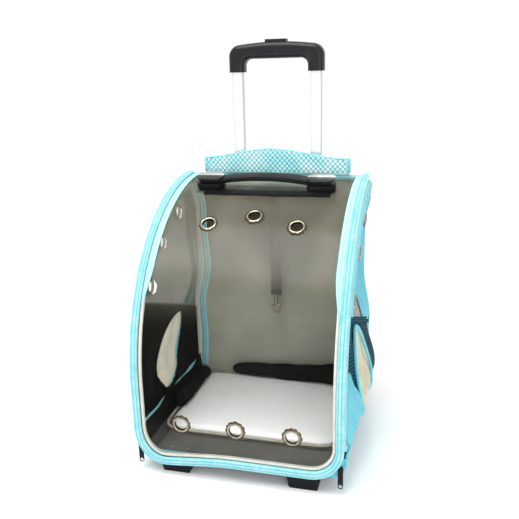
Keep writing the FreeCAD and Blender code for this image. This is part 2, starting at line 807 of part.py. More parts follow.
def grommet(thickness):
    """Two-flange eyelet about Z, its sheet between z = 0 and -thickness."""
    top = float(seam_gap) / 2
    low = -float(thickness) - top
    rim = float(grommet_rim_thickness)
    bore, reach = float(grommet_bore), float(grommet_rim)
    outline = [(bore, low - rim), (reach, low - rim / 2), (reach, low), (bore + float(grommet_barrel), low),
               (bore + float(grommet_barrel), top), (reach, top), (reach, top + rim / 2),
               ((bore + reach) / 2, top + rim), (bore, top + rim / 2)]
    wire = Part.makePolygon([Vector(r, 0, z) for r, z in outline + outline[:1]])
    return Part.Face(wire).revolve(Vector(), AXIS_Z, 360)


def placed(shape, place_at, rotation):
    moved = shape.copy()
    moved.Placement = Placement(place_at, rotation)
    return moved


def hood():
    """One clear sheet from the front hem, up and over to the rear hem."""
    low = bag_bottom + piping + seam_gap
    outside, inside = hood_radius - sheet_outer, hood_radius - sheet_inner
    outline = [
        (front + sheet_outer, low),
        (front + sheet_outer, hood_centre_z, outside, -1),
        (hood_centre_y, hood_centre_z + outside),
        (hood_centre_y, hood_centre_z + inside, inside, 1),
        (front + sheet_inner, hood_centre_z),
        (front + sheet_inner, low),
    ]
    sheet_form = slab("hood_form", "YZ_Plane", [outline], 2 * hood_half_width, middle=True)
    corner = hood_corner_radius - piping_radius - seam_gap
    wide = hood_half_width
    reach = 2 * sheet_inner
    tools = []
    for name, side in SIDES:
        notch = [(wide * side, low), (wide * side, low + corner, corner, -side),
                 ((wide - corner) * side, low)]
        tools.append(slab(name + "_corner_notch", "XZ_Plane", [notch], reach, y=front))
    hole = grommet_bore + grommet_barrel + fit_gap
    for x in LOWER_GROMMETS:
        tools.append(rod("lower_hole", hole, reach, x, front, bag_bottom + lower_grommet_height, TURN_TO_Y))
    for x, angle in UPPER_GROMMETS:
        y, z = hood_point(angle, 2 * sheet_inner)
        tools.append(rod("upper_hole", hole, 2 * reach, x, y, z, (AXIS_X, 90 - angle.value)))
    y, z = hood_point(handle_angle, 2 * sheet_inner)
    for x in STUDS:
        tools.append(rod("stud_hole", stud_radius + fit_gap, 2 * reach, x, y, z, (AXIS_X, hood_tilt)))
    check_out(cut("hood_window", sheet_form, *tools), "hood_window")
    ring = grommet(hood_sheet)
    lower_z = bag_bottom + lower_grommet_height
    rings = [placed(ring, spot(x, front + sheet_outer, lower_z), Rotation(AXIS_X, 90)) for x in LOWER_GROMMETS]
    sag = inside - root(inside * inside - grommet_rim * grommet_rim)
    ring = grommet(hood_sheet + sag)
    for x, angle in UPPER_GROMMETS:
        y, z = hood_point(angle, sheet_outer)
        rings.append(placed(ring, spot(x, y, z), Rotation(AXIS_X, 90 - angle.value)))
    check_out(feature("hood_grommets", Part.makeCompound(rings)), "hood_grommets")


def edge_path(x, depth, low):
    """Door-edge line of the bag: down the curved top and the straight front."""
    centre = spot(x, hood_centre_y, hood_centre_z)
    return [bend(centre, hood_radius - depth, AXIS_Z, -AXIS_Y),
            line(spot(x, front + depth, hood_centre_z), spot(x, front + depth, low))]


def bindings():
    """Piping round the hood, the zip chains beside it and the upright rear piping."""
    x = hood_piping_x
    y = front + piping_radius
    low = bag_bottom + piping_radius
    turn = hood_corner_radius
    flat = x - turn
    left = edge_path(-x, piping_radius, low + turn)
    left.append(bend(spot(-flat, y, low + turn), turn, -AXIS_X, -AXIS_Z))
    left.append(line(spot(-flat, y, low), spot(flat, y, low)))
    left.append(bend(spot(flat, y, low + turn), turn, -AXIS_Z, AXIS_X))
    right = edge_path(x, piping_radius, low + turn)
    round_front = pipe(left + right[::-1], piping_radius)
    hem_x = x + piping_radius
    hem = pipe([line(spot(-hem_x, back - piping_radius, bag_top - piping_radius),
                     spot(hem_x, back - piping_radius, bag_top - piping_radius))], piping_radius)
    check_out(feature("hood_binding", Part.makeCompound([round_front, hem])), "hood_binding")
    chains, uprights = [], []
    zip_in = piping_radius + piping_spread / 2
    zip_x = half_width - zip_in
    chain_low = slider_top + seam_gap
    upright_top = bag_top - zip_in - zip_radius - seam_gap
    for _, side in SIDES:
        chains.append(pipe(edge_path(zip_x * side, zip_in, chain_low), zip_radius))
        uprights.append(pipe([line(spot(door_x * side, hinge_y, flank_top + seam_gap),
                                   spot(door_x * side, hinge_y, upright_top))], piping_radius))
    check_out(feature("zip_chains", Part.makeCompound(chains)), "zip_chains")
    check_out(feature("rear_piping", Part.makeCompound(uprights)), "rear_piping")


slider_x = half_width - piping_radius - piping_spread / 2
slider_y = front + piping_radius + piping_spread / 2
slider_top = bag_bottom + slider_rise + slider_height
pull_y = front + piping_radius + pull_thickness + seam_gap
pull_z = slider_top - slider_height + pull_eye_radius


def zips():
    """Closed zip sliders at the lower ends of the chains, each with a hanging pull."""
    sliders = []
    for name, side in SIDES:
        x = slider_x * side
        body = block(name + "_slider_form", slider_width, slider_width, slider_height, x,
                     slider_y + slider_width / 2, slider_top - slider_height)
        bail_y = pull_y - pull_thickness
        bail = rod(name + "_bail", pull_eye_radius - seam_gap, slider_y + slider_width / 2 - bail_y, x,
                   bail_y, pull_z, TURN_TO_Y)
        stop = rod(name + "_stop", pull_eye_radius + pull_thickness, bail_head, x,
                   pull_y - pull_thickness / 2 - seam_gap - bail_head, pull_z, TURN_TO_Y)
        sliders.append(fuse(name + "_slider", body, bail, stop))
        wide = pull_width / 2
        foot = pull_length - pull_width - pull_eye_radius
        outline = [(-wide, -foot), (-wide, 0, wide, -1), (0, wide, wide, -1), (wide, 0),
                   (wide, -foot, wide, -1), (0, -foot - wide, wide, -1)]
        plate = slab(name + "_pull_form", "XZ_Plane", [outline], pull_thickness, x,
                     pull_y - pull_thickness / 2, pull_z)
        eye = rod(name + "_eye", pull_eye_radius, 2 * pull_thickness, x, pull_y - pull_thickness, pull_z,
                  TURN_TO_Y)
        window = rod(name + "_window", wide - pull_eye_radius / 2, 2 * pull_thickness, x,
                     pull_y - pull_thickness, pull_z - foot, TURN_TO_Y)
        check_out(cut(name + "_zip_pull", plate, eye, window), name + "_zip_pull")
    check_out(group("zip_sliders", *sliders), "zip_sliders")


def leaf(offset):
    """Leaf outline of two arcs, grown by an offset."""
    arc = (leaf_half_height * leaf_half_height + leaf_half_width * leaf_half_width) / (2 * leaf_half_width)
    wide = arc + offset
    sunk = arc - leaf_half_width
    tall = root(wide * wide - sunk * sunk)
    y = front + leaf_setback
    z = bag_bottom + leaf_base + leaf_half_height
    return [(y, z - tall, wide, 1), (y, z + tall, wide, 1)]


DOOR_GROMMETS = (door_grommet_low, door_grommet_mid, door_grommet_high)


def doors():
    """Zipped side doors: clear upper panel, mesh lower panel and a leaf window."""
    inset = door_inset + piping_radius + seam_gap
    edge = hood_radius - inset
    face = front + inset
    low = door_bottom + piping_radius + seam_gap
    turn = door_corner_radius - piping_radius - seam_gap
    front_seam = bag_bottom + door_seam_front

    def on_edge(z):
        rise = z - hood_centre_z
        return hood_centre_y - root(edge * edge - rise * rise)

    setback = hood_centre_y - door_rear
    crest = hood_centre_z + root(edge * edge - setback * setback)
    lip = door_seam_half + seam_gap / 2
    seam_front = on_edge(front_seam)
    rear_seam = front_seam - (door_rear - seam_front) * sine(door_seam_angle) / cosine(door_seam_angle)
    mesh = [(on_edge(front_seam - lip), front_seam - lip), (door_rear, rear_seam - lip), (door_rear, low),
            (face + turn, low, turn, -1), (face, low + turn), (face, hood_centre_z, edge, -1)]
    window = [(on_edge(front_seam + lip), front_seam + lip, edge, -1), (door_rear, crest),
              (door_rear, rear_seam + lip)]
    seam = [(seam_front, front_seam - door_seam_half), (door_rear, rear_seam - door_seam_half),
            (door_rear, rear_seam + door_seam_half), (seam_front, front_seam + door_seam_half)]
    ring = grommet(door_thickness)
    for name, side in SIDES:
        x = door_x * side
        label = name + "_door_mesh"
        opening = leaf(leaf_trim_width + seam_gap)
        check_out(slab(label, "YZ_Plane", [mesh, opening], door_thickness, x, middle=True), label)
        label = name + "_leaf_trim"
        border = [leaf(leaf_trim_width), leaf(as_size(0))]
        check_out(slab(label, "YZ_Plane", border, door_thickness + hood_sheet, x, middle=True), label)
        label = name + "_leaf_window"
        check_out(slab(label, "YZ_Plane", [leaf(-seam_gap)], leaf_sheet, x, middle=True), label)
        form = slab(name + "_window_form", "YZ_Plane", [window], door_thickness, x, middle=True)
        holes, rings = [], []
        for angle in DOOR_GROMMETS:
            y, z = hood_point(angle, door_grommet_inset)
            bore = grommet_bore + grommet_barrel + fit_gap
            holes.append(rod("door_hole", bore, 2 * piping, x - piping, y, z, TURN_TO_X))
            outer = spot(x + side * door_thickness / 2, y, z)
            rings.append(placed(ring, outer, Rotation(AXIS_Y, 90 * side)))
        check_out(cut(name + "_door_window", form, *holes), name + "_door_window")
        check_out(feature(name + "_door_grommets", Part.makeCompound(rings)), name + "_door_grommets")
        band = slab(name + "_seam_form", "YZ_Plane", [seam], door_thickness + hood_sheet, x, middle=True)
        centre = spot(x, hood_centre_y, hood_centre_z)
        reach = float(hood_radius - door_inset)
        top = spot(x, door_rear, hood_centre_z + root((hood_radius - door_inset) * (hood_radius - door_inset)
                                                      - setback * setback))
        halfway = centre + (Vector(0, -1, 1).normalize() * reach)
        level = spot(x, front + door_inset, hood_centre_z)
        turn_y = front + door_inset + door_corner_radius
        turn_z = door_bottom + door_corner_radius
        edges = [Part.Arc(top, halfway, level).toShape(),
                 line(level, spot(x, front + door_inset, turn_z)),
                 bend(spot(x, turn_y, turn_z), door_corner_radius, -AXIS_Y, -AXIS_Z),
                 line(spot(x, turn_y, door_bottom), spot(x, door_rear, door_bottom))]
        tube = feature(name + "_door_tube", pipe(edges, piping_radius))
        check_out(group(name + "_door_binding", tube, band), name + "_door_binding")


def carry_handle():
    """Lifting bar on two mounts, bolted through the hood to a backing plate."""
    y, z = hood_point(handle_angle, sheet_outer)
    tilt = (AXIS_X, hood_tilt)
    half = handle_length / 2
    inside = half - mount_length
    chamfer = handle_depth / 4
    deep = handle_depth / 2
    clear = seam_gap * 2
    seat = mount_height + seam_gap
    cap_z = seat + handle_bar
    mounts, caps = [], []
    post_x = half - mount_length / 2
    tools = []
    for name, side in SIDES:
        outline = [(inside + chamfer, -deep), (half - chamfer, -deep), (half, -deep + chamfer),
                   (half, deep - chamfer), (half - chamfer, deep), (inside + chamfer, deep),
                   (inside, deep - chamfer), (inside, -deep + chamfer)]
        outline = [(u * side, v) for u, v in outline][::side]
        form = slab(name + "_mount_form", "XY_Plane", [outline], mount_height - clear, 0, 0, clear)
        mounts.append(form)
        tools.append(rod("post_way", post_radius + fit_gap, mount_height, post_x * side, 0, 2 * clear))
        outline = [(u, v * (1 - 2 * seam_gap / handle_depth)) for u, v in outline]
        caps.append(slab(name + "_cap_form", "XY_Plane", [outline], handle_cap, 0, 0, cap_z))
    tools += [rod("stud_way", stud_radius + fit_gap, mount_height / 2, x, 0, 0) for x in STUDS]
    drilled = cut("handle_mounts", group("mount_pair", *mounts), *tools)
    check_out(place(drilled, 0, y, z, tilt), "handle_mounts")
    check_out(place(group("handle_caps", *caps), 0, y, z, tilt), "handle_caps")
    arch = (inside * inside + handle_arch * handle_arch) / (2 * handle_arch)
    profile = [(-half + chamfer, seat), (-inside, seat, arch, -1), (0, seat + handle_arch, arch, -1),
               (inside, seat), (half - chamfer, seat), (half - chamfer, cap_z), (inside, cap_z, arch, 1),
               (0, cap_z + handle_arch, arch, 1), (-inside, cap_z), (-half + chamfer, cap_z)]
    bar = slab("carry_bar", "XZ_Plane", [profile], handle_depth - chamfer, 0, -(deep - chamfer / 2), 0)
    posts = [rod("handle_post", post_radius, mount_height - 3 * clear, post_x * side, 0, 3 * clear + seam_gap)
             for _, side in SIDES]
    check_out(place(fuse("carry_grip", bar, *posts), 0, y, z, tilt), "carry_grip")
    plate_z = -(hood_sheet + 3 * seam_gap + handle_plate_thickness)
    plate = block("handle_strip", handle_length, handle_depth, handle_plate_thickness, 0, 0, plate_z)
    stud_length = mount_height / 2 - plate_z - seam_gap
    studs = [rod("handle_stud", stud_radius, stud_length, x, 0, plate_z) for x in STUDS]
    check_out(place(fuse("handle_plate", plate, *studs), 0, y, z, tilt), "handle_plate")


# Cushion sections: share of the length, pull-in of the sides, crown, share of the edge height
CUSHION_SECTIONS = ((0.0, 0.0, 0.3, 0.6), (0.12, 0.35, 0.8, 1.0), (0.5, 1.0, 1.0, 1.0),
                    (0.88, 0.35, 0.8, 1.0), (1.0, 0.0, 0.3, 0.6))


def cushion(width, length, thickness, crown, draw_in, bow=0):
    """Pad along Y with a crowned top, sides that draw in between corners, and an arched length if bowed."""
    sections = []
    for share, pull, rise, edge in CUSHION_SECTIONS:
        reach = float(width) / 2 - float(draw_in) * pull
        y = float(length) * share
        low = float(bow) * (1 - (2 * share - 1) ** 2)
        tall = low + float(thickness) * edge
        a, b = Vector(-reach, y, low), Vector(reach, y, low)
        c, d = Vector(reach, y, tall), Vector(-reach, y, tall)
        top = Part.Arc(c, Vector(0, y, tall + float(crown) * rise), d).toShape()
        sections.append(Part.Wire([line(a, b), line(b, c), top, line(d, a)]))
    return Part.makeLoft(sections, True, True)


mat_z = board_upper + seam_gap
hang_y = board_front - anchor_reach + strap_thickness


def cabin():
    """Floor mat, rolled lining and the tether strap with its anchor."""
    mat = feature("mat_form", cushion(mat_width, mat_depth, mat_thickness, mat_crown, mat_draw_in))
    check_out(place(mat, 0, front + mat_setback, mat_z), "floor_mat")
    crest = mat_z + mat_thickness + mat_crown + seam_gap
    roll = doc.addObject("Part::Cone", "rear_roll")
    bind(roll, "Radius1", rear_roll_thin)
    bind(roll, "Radius2", rear_roll_thick)
    bind(roll, "Height", rear_roll_length)
    place(roll, -rear_roll_length * 2 / 5, board_front - seam_gap - rear_roll_thick, crest + rear_roll_thick,
          TURN_TO_X)
    reach = mat_width / 2 - mat_draw_in
    side_x = reach - side_roll_radius
    bulge = mat_crown * (1 - side_x * side_x / (reach * reach))
    side_roll = rod("side_roll", side_roll_radius, side_roll_length, -side_x,
                    board_front - rear_roll_thick * 2 - side_roll_length,
                    mat_z + mat_thickness + bulge + seam_gap + side_roll_radius, TURN_TO_Y)
    check_out(group("lining_rolls", roll, side_roll), "lining_rolls")
    anchor_z = bag_top - anchor_drop - anchor_height
    anchor = block("tether_anchor", strap_width + piping_radius, anchor_reach, anchor_height, 0,
                   board_front - seam_gap - anchor_reach / 2, anchor_z)
    check_out(anchor, "tether_anchor")
    strap_floor = anchor_z - seam_gap - strap_length
    webbing = block("tether_web", strap_width, strap_thickness, strap_length, 0, hang_y, strap_floor)
    fold = block("tether_fold", strap_width, 3 * strap_thickness, strap_width / 2, 0, hang_y, strap_floor)
    check_out(fuse("tether_strap", webbing, fold), "tether_strap")
    return strap_floor


def snap_hook(strap_floor):
    """Swivel hook under the tether and its sprung gate."""
    wire = hook_wire
    swivel_z = strap_floor - seam_gap
    eye_z = swivel_z - hook_shank - hook_radius
    shank = rod("hook_swivel", wire, hook_shank + wire, 0, hang_y, swivel_z - hook_shank - wire)
    outer = rod("hook_outer", hook_radius, wire, 0, hang_y - wire / 2, eye_z, TURN_TO_Y)
    inner = rod("hook_inner", hook_radius - wire, 2 * wire, 0, hang_y - wire, eye_z, TURN_TO_Y)
    gap_x = hook_radius - wire / 2
    opening = block("hook_opening", 2 * wire, 2 * wire, hook_mouth, gap_x, hang_y, eye_z - hook_radius / 3)
    check_out(cut("hook_body", fuse("hook_form", shank, outer), inner, opening), "hook_body")
    gate_z = eye_z - hook_radius / 3 + 2 * seam_gap
    gate = block("hook_gate", wire / 2, wire, hook_mouth - 4 * seam_gap, hook_radius - wire, hang_y, gate_z)
    check_out(gate, "hook_gate")


pad_top = top_bracket_z - pad_bracket_gap
shoulder_top = pad_top - shoulder_drop
# Heights of the two webbing slots in a ladder lock, as shares of its height
LOCK_SLOTS = (0.2, 0.6)


def back_padding():
    """Air-mesh pad over the tubes, shoulder straps, their webbing and ladder locks."""
    base = seam_gap
    channel = outer_depth + 2 * seam_gap
    edge = channel + pad_edge
    rise = pad_half_width
    crown = (rise * rise + pad_crown * pad_crown) / (2 * pad_crown)
    outline = [
        (-pad_half_width, base),
        (-channel_half_width, base),
        (-channel_half_width, channel),
        (channel_half_width, channel),
        (channel_half_width, base),
        (pad_half_width, base),
        (pad_half_width, edge, crown, 1),
        (0, edge + pad_crown, crown, 1),
        (-pad_half_width, edge),
    ]
    check_out(slab("back_pad", "XY_Plane", [outline], pad_top - pad_bottom, 0, back, pad_bottom), "back_pad")
    face = back + edge + pad_crown + seam_gap
    locks, webs = [], []
    lock_z = shoulder_bottom - seam_gap - buckle_height
    web_low = pad_bottom + piping
    for name, side in SIDES:
        x = shoulder_spread * side
        label = name + "_shoulder_strap"
        strap = feature(label, cushion(shoulder_width, shoulder_top - shoulder_bottom, shoulder_thickness,
                                       shoulder_crown, shoulder_draw_in, shoulder_bow))
        check_out(place(strap, x, face, shoulder_bottom, TURN_UPRIGHT), label)
        lock = block(name + "_lock_form", buckle_width, buckle_depth, buckle_height,
                     x, face + buckle_depth / 2, lock_z)
        slots = [block(name + "_lock_slot", webbing_width + seam_gap, 2 * buckle_depth, buckle_height / 5, x,
                       face + buckle_depth / 2, lock_z + buckle_height * share) for share in LOCK_SLOTS]
        locks.append(cut(name + "_lock", lock, *slots))
        webs.append(block(name + "_webbing", webbing_width, webbing_thickness, lock_z - seam_gap - web_low, x,
                          face + webbing_thickness / 2, web_low))
    check_out(group("ladder_locks", *locks), "ladder_locks")
    check_out(group("strap_webbing", *webs), "strap_webbing")


def trolley_flap():
    """Padded mesh flap on the rear hem, in front of the tubes, with an arched top."""
    half = flap_width / 2
    arc = (half * half + flap_crown * flap_crown) / (2 * flap_crown)
    low = bag_top + seam_gap
    outline = [(-half, low), (half, low), (half, low + flap_height, arc, 1),
               (0, low + flap_height + flap_crown, arc, 1), (-half, low + flap_height)]
    rear = grip_face - 2 * seam_gap
    flap = slab("trolley_flap", "XZ_Plane", [outline], flap_thickness, 0, rear - flap_thickness)
    check_out(flap, "trolley_flap")


bottom_shell()
base_board()
front_feet()
screws()
back_board()
tubes("outer_tubes", outer_width, outer_depth, tube_floor, outer_top)
tubes("middle_tubes", middle_width, middle_depth, middle_floor, middle_top,
      [pin_z - inner_drop, pin_z + inner_rise])
tubes("inner_tubes", tube_width, tube_depth, inner_floor, tube_top, [pin_z], [grip_screw_z])
brackets()
trolley_grip()
release_mechanism()
wheels()
hood()
bindings()
zips()
doors()
carry_handle()
snap_hook(cabin())
back_padding()
trolley_flap()
doc.recompute()

for item in doc.Objects:
    if "Invalid" in item.State or "Error" in item.State:
        raise RuntimeError(f"{item.Name} ({item.Label}) did not build: {item.State}")
for label, node in nodes.items():
    if node.Shape.isNull() or not node.Shape.isValid():
        raise RuntimeError(f"{label} has no valid shape")
os.makedirs("parts", exist_ok=True)
for label, node in nodes.items():
    node.Shape.exportStep(f"parts/{label}.step")
print(len(nodes), "sub-parts written")
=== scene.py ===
import math

import bpy
from mathutils import Matrix, Vector


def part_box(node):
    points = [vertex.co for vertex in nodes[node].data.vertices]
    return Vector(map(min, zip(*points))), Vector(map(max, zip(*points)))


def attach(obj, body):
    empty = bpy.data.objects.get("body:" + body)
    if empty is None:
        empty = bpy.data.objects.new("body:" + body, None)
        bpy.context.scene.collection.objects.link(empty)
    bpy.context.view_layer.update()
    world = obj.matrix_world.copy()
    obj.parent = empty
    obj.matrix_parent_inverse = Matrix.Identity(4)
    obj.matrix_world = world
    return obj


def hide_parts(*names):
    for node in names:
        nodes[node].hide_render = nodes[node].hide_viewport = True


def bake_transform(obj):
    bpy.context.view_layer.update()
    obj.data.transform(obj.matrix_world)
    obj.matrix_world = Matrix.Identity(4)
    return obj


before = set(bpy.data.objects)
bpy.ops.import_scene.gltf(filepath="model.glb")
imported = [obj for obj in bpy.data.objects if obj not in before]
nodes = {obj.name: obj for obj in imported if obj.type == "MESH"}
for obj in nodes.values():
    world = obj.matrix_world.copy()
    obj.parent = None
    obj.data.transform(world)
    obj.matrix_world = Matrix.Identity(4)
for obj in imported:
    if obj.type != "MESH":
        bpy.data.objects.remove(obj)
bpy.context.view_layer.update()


# Shader kit: sums on sockets are written as plain expressions
class Wire:
    def __init__(self, kit, socket):
        self.kit = kit
        self.socket = socket

    def maths(self, operation, first, second=0.0):
        return self.kit.node("ShaderNodeMath", {"operation": operation}, {0: first, 1: second})

    def __add__(self, other):
        return self.maths("ADD", self, other)

    def __radd__(self, other):
        return self.maths("ADD", other, self)

    def __sub__(self, other):
        return self.maths("SUBTRACT", self, other)

    def __rsub__(self, other):
        return self.maths("SUBTRACT", other, self)

    def __mul__(self, other):
        return self.maths("MULTIPLY", self, other)

    def __rmul__(self, other):
        return self.maths("MULTIPLY", other, self)

    def sine(self):
        return self.maths("SINE", self)

    def size(self):
        return self.maths("ABSOLUTE", self)

    def most(self, other):
        return self.maths("MAXIMUM", self, other)

    def over(self, edge):
        return self.maths("GREATER_THAN", self, edge)

    def under(self, edge):
        return self.maths("LESS_THAN", self, edge)

    def rise(self, low, high):
        return self.kit.node("ShaderNodeMapRange", {"interpolation_type": "SMOOTHSTEP"},
                             {"Value": self, "From Min": low, "From Max": high})


class Kit:
    def __init__(self, tree):
        self.tree = tree

    def node(self, kind, settings=None, sockets=None, out=0):
        made = self.tree.nodes.new(kind)
        for key, value in (settings or {}).items():
            setattr(made, key, value)
        for key, value in (sockets or {}).items():
            self.join(made.inputs[key], value)
        return Wire(self, made.outputs[out])

    def join(self, socket, value):
        if isinstance(value, Wire):
            self.tree.links.new(value.socket, socket)
        else:
            socket.default_value = value

    def where(self, kind="Object"):
        return self.node("ShaderNodeTexCoord", out=kind)


class Finish(Kit):
    def __init__(self, name, **fixed):
        self.material = bpy.data.materials.new(name)
        self.material.use_nodes = True
        super().__init__(self.material.node_tree)
        self.shader = self.tree.nodes["Principled BSDF"]
        self.feed(**fixed)

    def axes(self, vector):
        split = self.node("ShaderNodeSeparateXYZ", None, {0: vector}).socket.node
        return [Wire(self, socket) for socket in split.outputs]

    def noise(self, vector, scale, detail=2.0):
        sockets = {"Vector": vector, "Scale": scale, "Detail": detail}
        return self.node("ShaderNodeTexNoise", None, sockets)

    def cells(self, vector, scale):
        return self.node("ShaderNodeTexVoronoi", None, {"Vector": vector, "Scale": scale})

    def stretch(self, vector, scale):
        return self.node("ShaderNodeMapping", None, {"Vector": vector, "Scale": scale})

    def blend(self, amount, first, second):
        return self.node("ShaderNodeMix", {"data_type": "RGBA"}, {0: amount, 6: first, 7: second}, 2)

    def feed(self, **links):
        for socket, value in links.items():
            self.join(self.shader.inputs[socket.replace("_", " ")], value)

    def bump(self, height, depth):
        self.feed(Normal=self.node("ShaderNodeBump", None, {"Height": height, "Distance": depth}))
        return self.material


def shade(red, green, blue):
    # screen colour, 0 to 255, as linear light
    linear = []
    for value in (red / 255, green / 255, blue / 255):
        linear.append(value / 12.92 if value <= 0.04045 else ((value + 0.055) / 1.055) ** 2.4)
    return linear + [1.0]


def waves(axis, pitch):
    # sine ridges, one for each pitch along an axis
    return (axis * (2 * math.pi / pitch)).sine()


weavePitch = 0.0011
soleBlack = shade(24, 24, 27)


def wovenCloth(name, light, dark, coords="Object", sheen=0.25, soil=0.5, gloss=0.25, sole=None):
    # below the height of the sole the cloth is coated black
    kit = Finish(name, Sheen_Weight=sheen, Sheen_Roughness=0.5, Specular_IOR_Level=gloss)
    spot = kit.where(coords)
    x, y, z = kit.axes(spot)
    if coords == "UV":
        weave = waves(x, weavePitch) * waves(y, weavePitch)
    else:
        weave = waves(x + y, weavePitch) * waves(z + y * 0.37, weavePitch)
    patches = kit.noise(spot, 38.0, 4.0)
    fuzz = kit.noise(spot, 900.0)
    tone = weave * 0.22 + patches * soil + fuzz * 0.35 + (0.32 - soil * 0.5)
    cloth = kit.blend(tone.rise(0.0, 1.0), dark, light)
    if sole:
        height = kit.axes(kit.where())[2]
        cloth = kit.blend(height.over(sole), soleBlack, cloth)
    kit.feed(Base_Color=cloth, Roughness=patches * 0.14 + 0.81)
    return kit.bump(weave * 0.5 + fuzz * 0.4 + patches * 1.5, 0.00035)


bindingWeave = {"rib": 0.0014, "stitch": 0.0046, "stitchAt": 0.0086, "stitchHalf": 0.0005,
                "creaseOff": 0.0026, "thread": shade(226, 240, 236)}


def bindingTape(name, light, dark):
    # fine cross ribs, a stitch row along the middle and a crease on each side of it, darkened with
    # painted shade
    kit = Finish(name, Sheen_Weight=0.3, Sheen_Roughness=0.45, Specular_IOR_Level=0.3)
    spot = kit.where("UV")
    across, along, none = kit.axes(spot)
    ribs = waves(along, bindingWeave["rib"])
    patches = kit.noise(spot, 45.0, 3.0)
    puckers = kit.noise(kit.stretch(spot, (60.0, 190.0, 1.0)), 1.0)
    aside = (across - bindingWeave["stitchAt"]).size()
    stitch = aside.under(bindingWeave["stitchHalf"]) * waves(along, bindingWeave["stitch"]).over(-0.35)
    creases = 1 - (aside - bindingWeave["creaseOff"]).size().rise(0.0002, 0.0011)
    # painted shade darkens the tone along the creases
    tone = patches * 0.8 + ribs * 0.09 + puckers * 0.45 - creases * 0.55 - 0.12
    cloth = kit.blend(tone.rise(0.0, 1.0), dark, light)
    kit.feed(Base_Color=kit.blend(stitch * 0.55, cloth, bindingWeave["thread"]),
             Roughness=patches * 0.15 + 0.68)
    return kit.bump(ribs * 0.25 + puckers * 2.2 - stitch * 0.8 - creases * 1.2, 0.0005)


def mouldedPlastic(name, colour, pale, rough=0.42, grain=1400.0, depth=0.00008, gloss=0.5):
    kit = Finish(name, Specular_IOR_Level=gloss)
    spot = kit.where()
    fine = kit.noise(spot, grain, 3.0)
    worn = kit.noise(spot, 55.0, 5.0)
    kit.feed(Base_Color=kit.blend(worn.rise(0.52, 0.86), colour, pale),
             Roughness=worn * 0.18 + fine * 0.1 + rough - 0.14)
    return kit.bump(fine, depth)


def eyeletPaintedShade(kit):
    # painted shade: bore and rim are darkened, the crown between them keeps the bright metal
    across = kit.axes(kit.where("UV"))[1]
    return 1 - across.rise(0.10, 0.20) * (1 - across.rise(0.19, 0.35) * 0.88)


def tubeSideShade(kit):
    # painted shade, darker towards the two long edges of an inner tube
    x = kit.axes(kit.where())[0]
    return (x.size() - tubeSides["spread"]).size().rise(tubeSides["clear"], tubeSides["half"])


def plated(name, bright, dull, rough=0.2, streak=(60.0, 60.0, 60.0), paintedShade=None, place=None):
    # place(kit) gives the share of painted shade at each point
    kit = Finish(name, Metallic=1.0)
    spot = kit.where()
    stain = kit.noise(spot, 130.0, 5.0)
    lines = kit.noise(kit.stretch(spot, streak), 14.0, 3.0)
    metal = kit.blend((stain * 0.7 + lines * 0.3).rise(0.38, 0.72), bright, dull)
    if paintedShade:
        metal = kit.blend(place(kit), metal, paintedShade)
    kit.feed(Base_Color=metal, Roughness=stain * 0.22 + lines * 0.12 + rough - 0.12)
    return kit.bump(lines, 0.00003)


def clearVinyl(settings):
    # painted reflection of bright surroundings gathers towards the top, along a line across the hood and
    # in the opening under the handle; a little alpha rises by the base, and the middle stays clear
    kit = Finish("clearVinyl", Roughness=settings["rough"], IOR=settings["ior"])
    spot = kit.where()
    x, y, z = kit.axes(spot)
    smear = kit.noise(kit.stretch(spot, (9.0, 9.0, 3.0)), 1.6, 4.0)
    top = z.rise(*settings["topGlareZ"])
    base = 1 - z.rise(*settings["baseZ"])
    fold = z.rise(settings["glareLineZ"] - 0.0006, settings["glareLineZ"] + 0.0006)
    crown = z.rise(*settings["handleGlareZ"]) * (1 - x.size().rise(*settings["handleGlareX"]))
    # the top, fold and crown terms paint a reflection in the pale vinyl colour
    hazeAndGlare = top * settings["top"] + base * settings["base"] + crown * settings["crown"]
    hazeAndGlare = hazeAndGlare + fold * settings["fold"] + smear * 0.012 + settings["middle"]
    # colour of the painted reflection
    colour = kit.blend(smear.rise(0.3, 0.75), settings["dark"], settings["light"])
    kit.feed(Base_Color=colour, Alpha=hazeAndGlare)
    return kit.bump(smear, 0.0008)


def smokeVinyl(name, light, dark, alpha):
    kit = Finish(name, Roughness=0.16, IOR=1.6)
    spot = kit.where()
    smear = kit.noise(spot, 14.0, 4.0)
    kit.feed(Base_Color=kit.blend(smear.rise(0.35, 0.7), dark, light),
             Alpha=smear * 0.16 + (alpha - 0.08))
    return kit.bump(smear, 0.002)


def airKnit(name, ground, dot, pitch, coords="UV"):
    # rows of small open cells in staggered order
    kit = Finish(name, Specular_IOR_Level=0.12)
    spot = kit.where(coords)
    u, v, w = kit.axes(spot)
    if coords == "Object":
        v = w
    cell = waves(u + v * 0.58, pitch) * waves(u - v * 0.58, pitch)
    fuzz = kit.noise(spot, 700.0)
    wave = kit.noise(spot, 30.0, 3.0)
    kit.feed(Base_Color=kit.blend((cell + wave * 0.7 - 0.25).rise(0.05, 0.75), ground, dot),
             Roughness=wave * 0.2 + 0.68)
    return kit.bump(cell * 0.8 + fuzz * 0.3 + wave, 0.0006)


def diamondNet(name, cloth, shadow, thread, pitch):
    # thread lines cross on a quilted ground
    kit = Finish(name, Sheen_Weight=0.25, Specular_IOR_Level=0.3)
    spot = kit.where()
    x, y, z = kit.axes(spot)
    lineA = waves(x + z * 0.92, 2 * pitch).size()
    lineB = waves(x - z * 0.92, 2 * pitch).size()
    net = 1 - (lineA.rise(0.1, 0.42) * lineB.rise(0.1, 0.42))
    knots = (1 - lineA.rise(0.0, 0.5)) * (1 - lineB.rise(0.0, 0.5))
    patches = kit.noise(spot, 40.0, 3.0)
    ground = kit.blend(patches.rise(0.3, 0.7), shadow, cloth)
    kit.feed(Base_Color=kit.blend((net * 0.72 + knots * 0.4).rise(0.0, 1.0), ground, thread),
             Roughness=patches * 0.2 + 0.7)
    return kit.bump(net * 0.8 + patches, 0.0008)


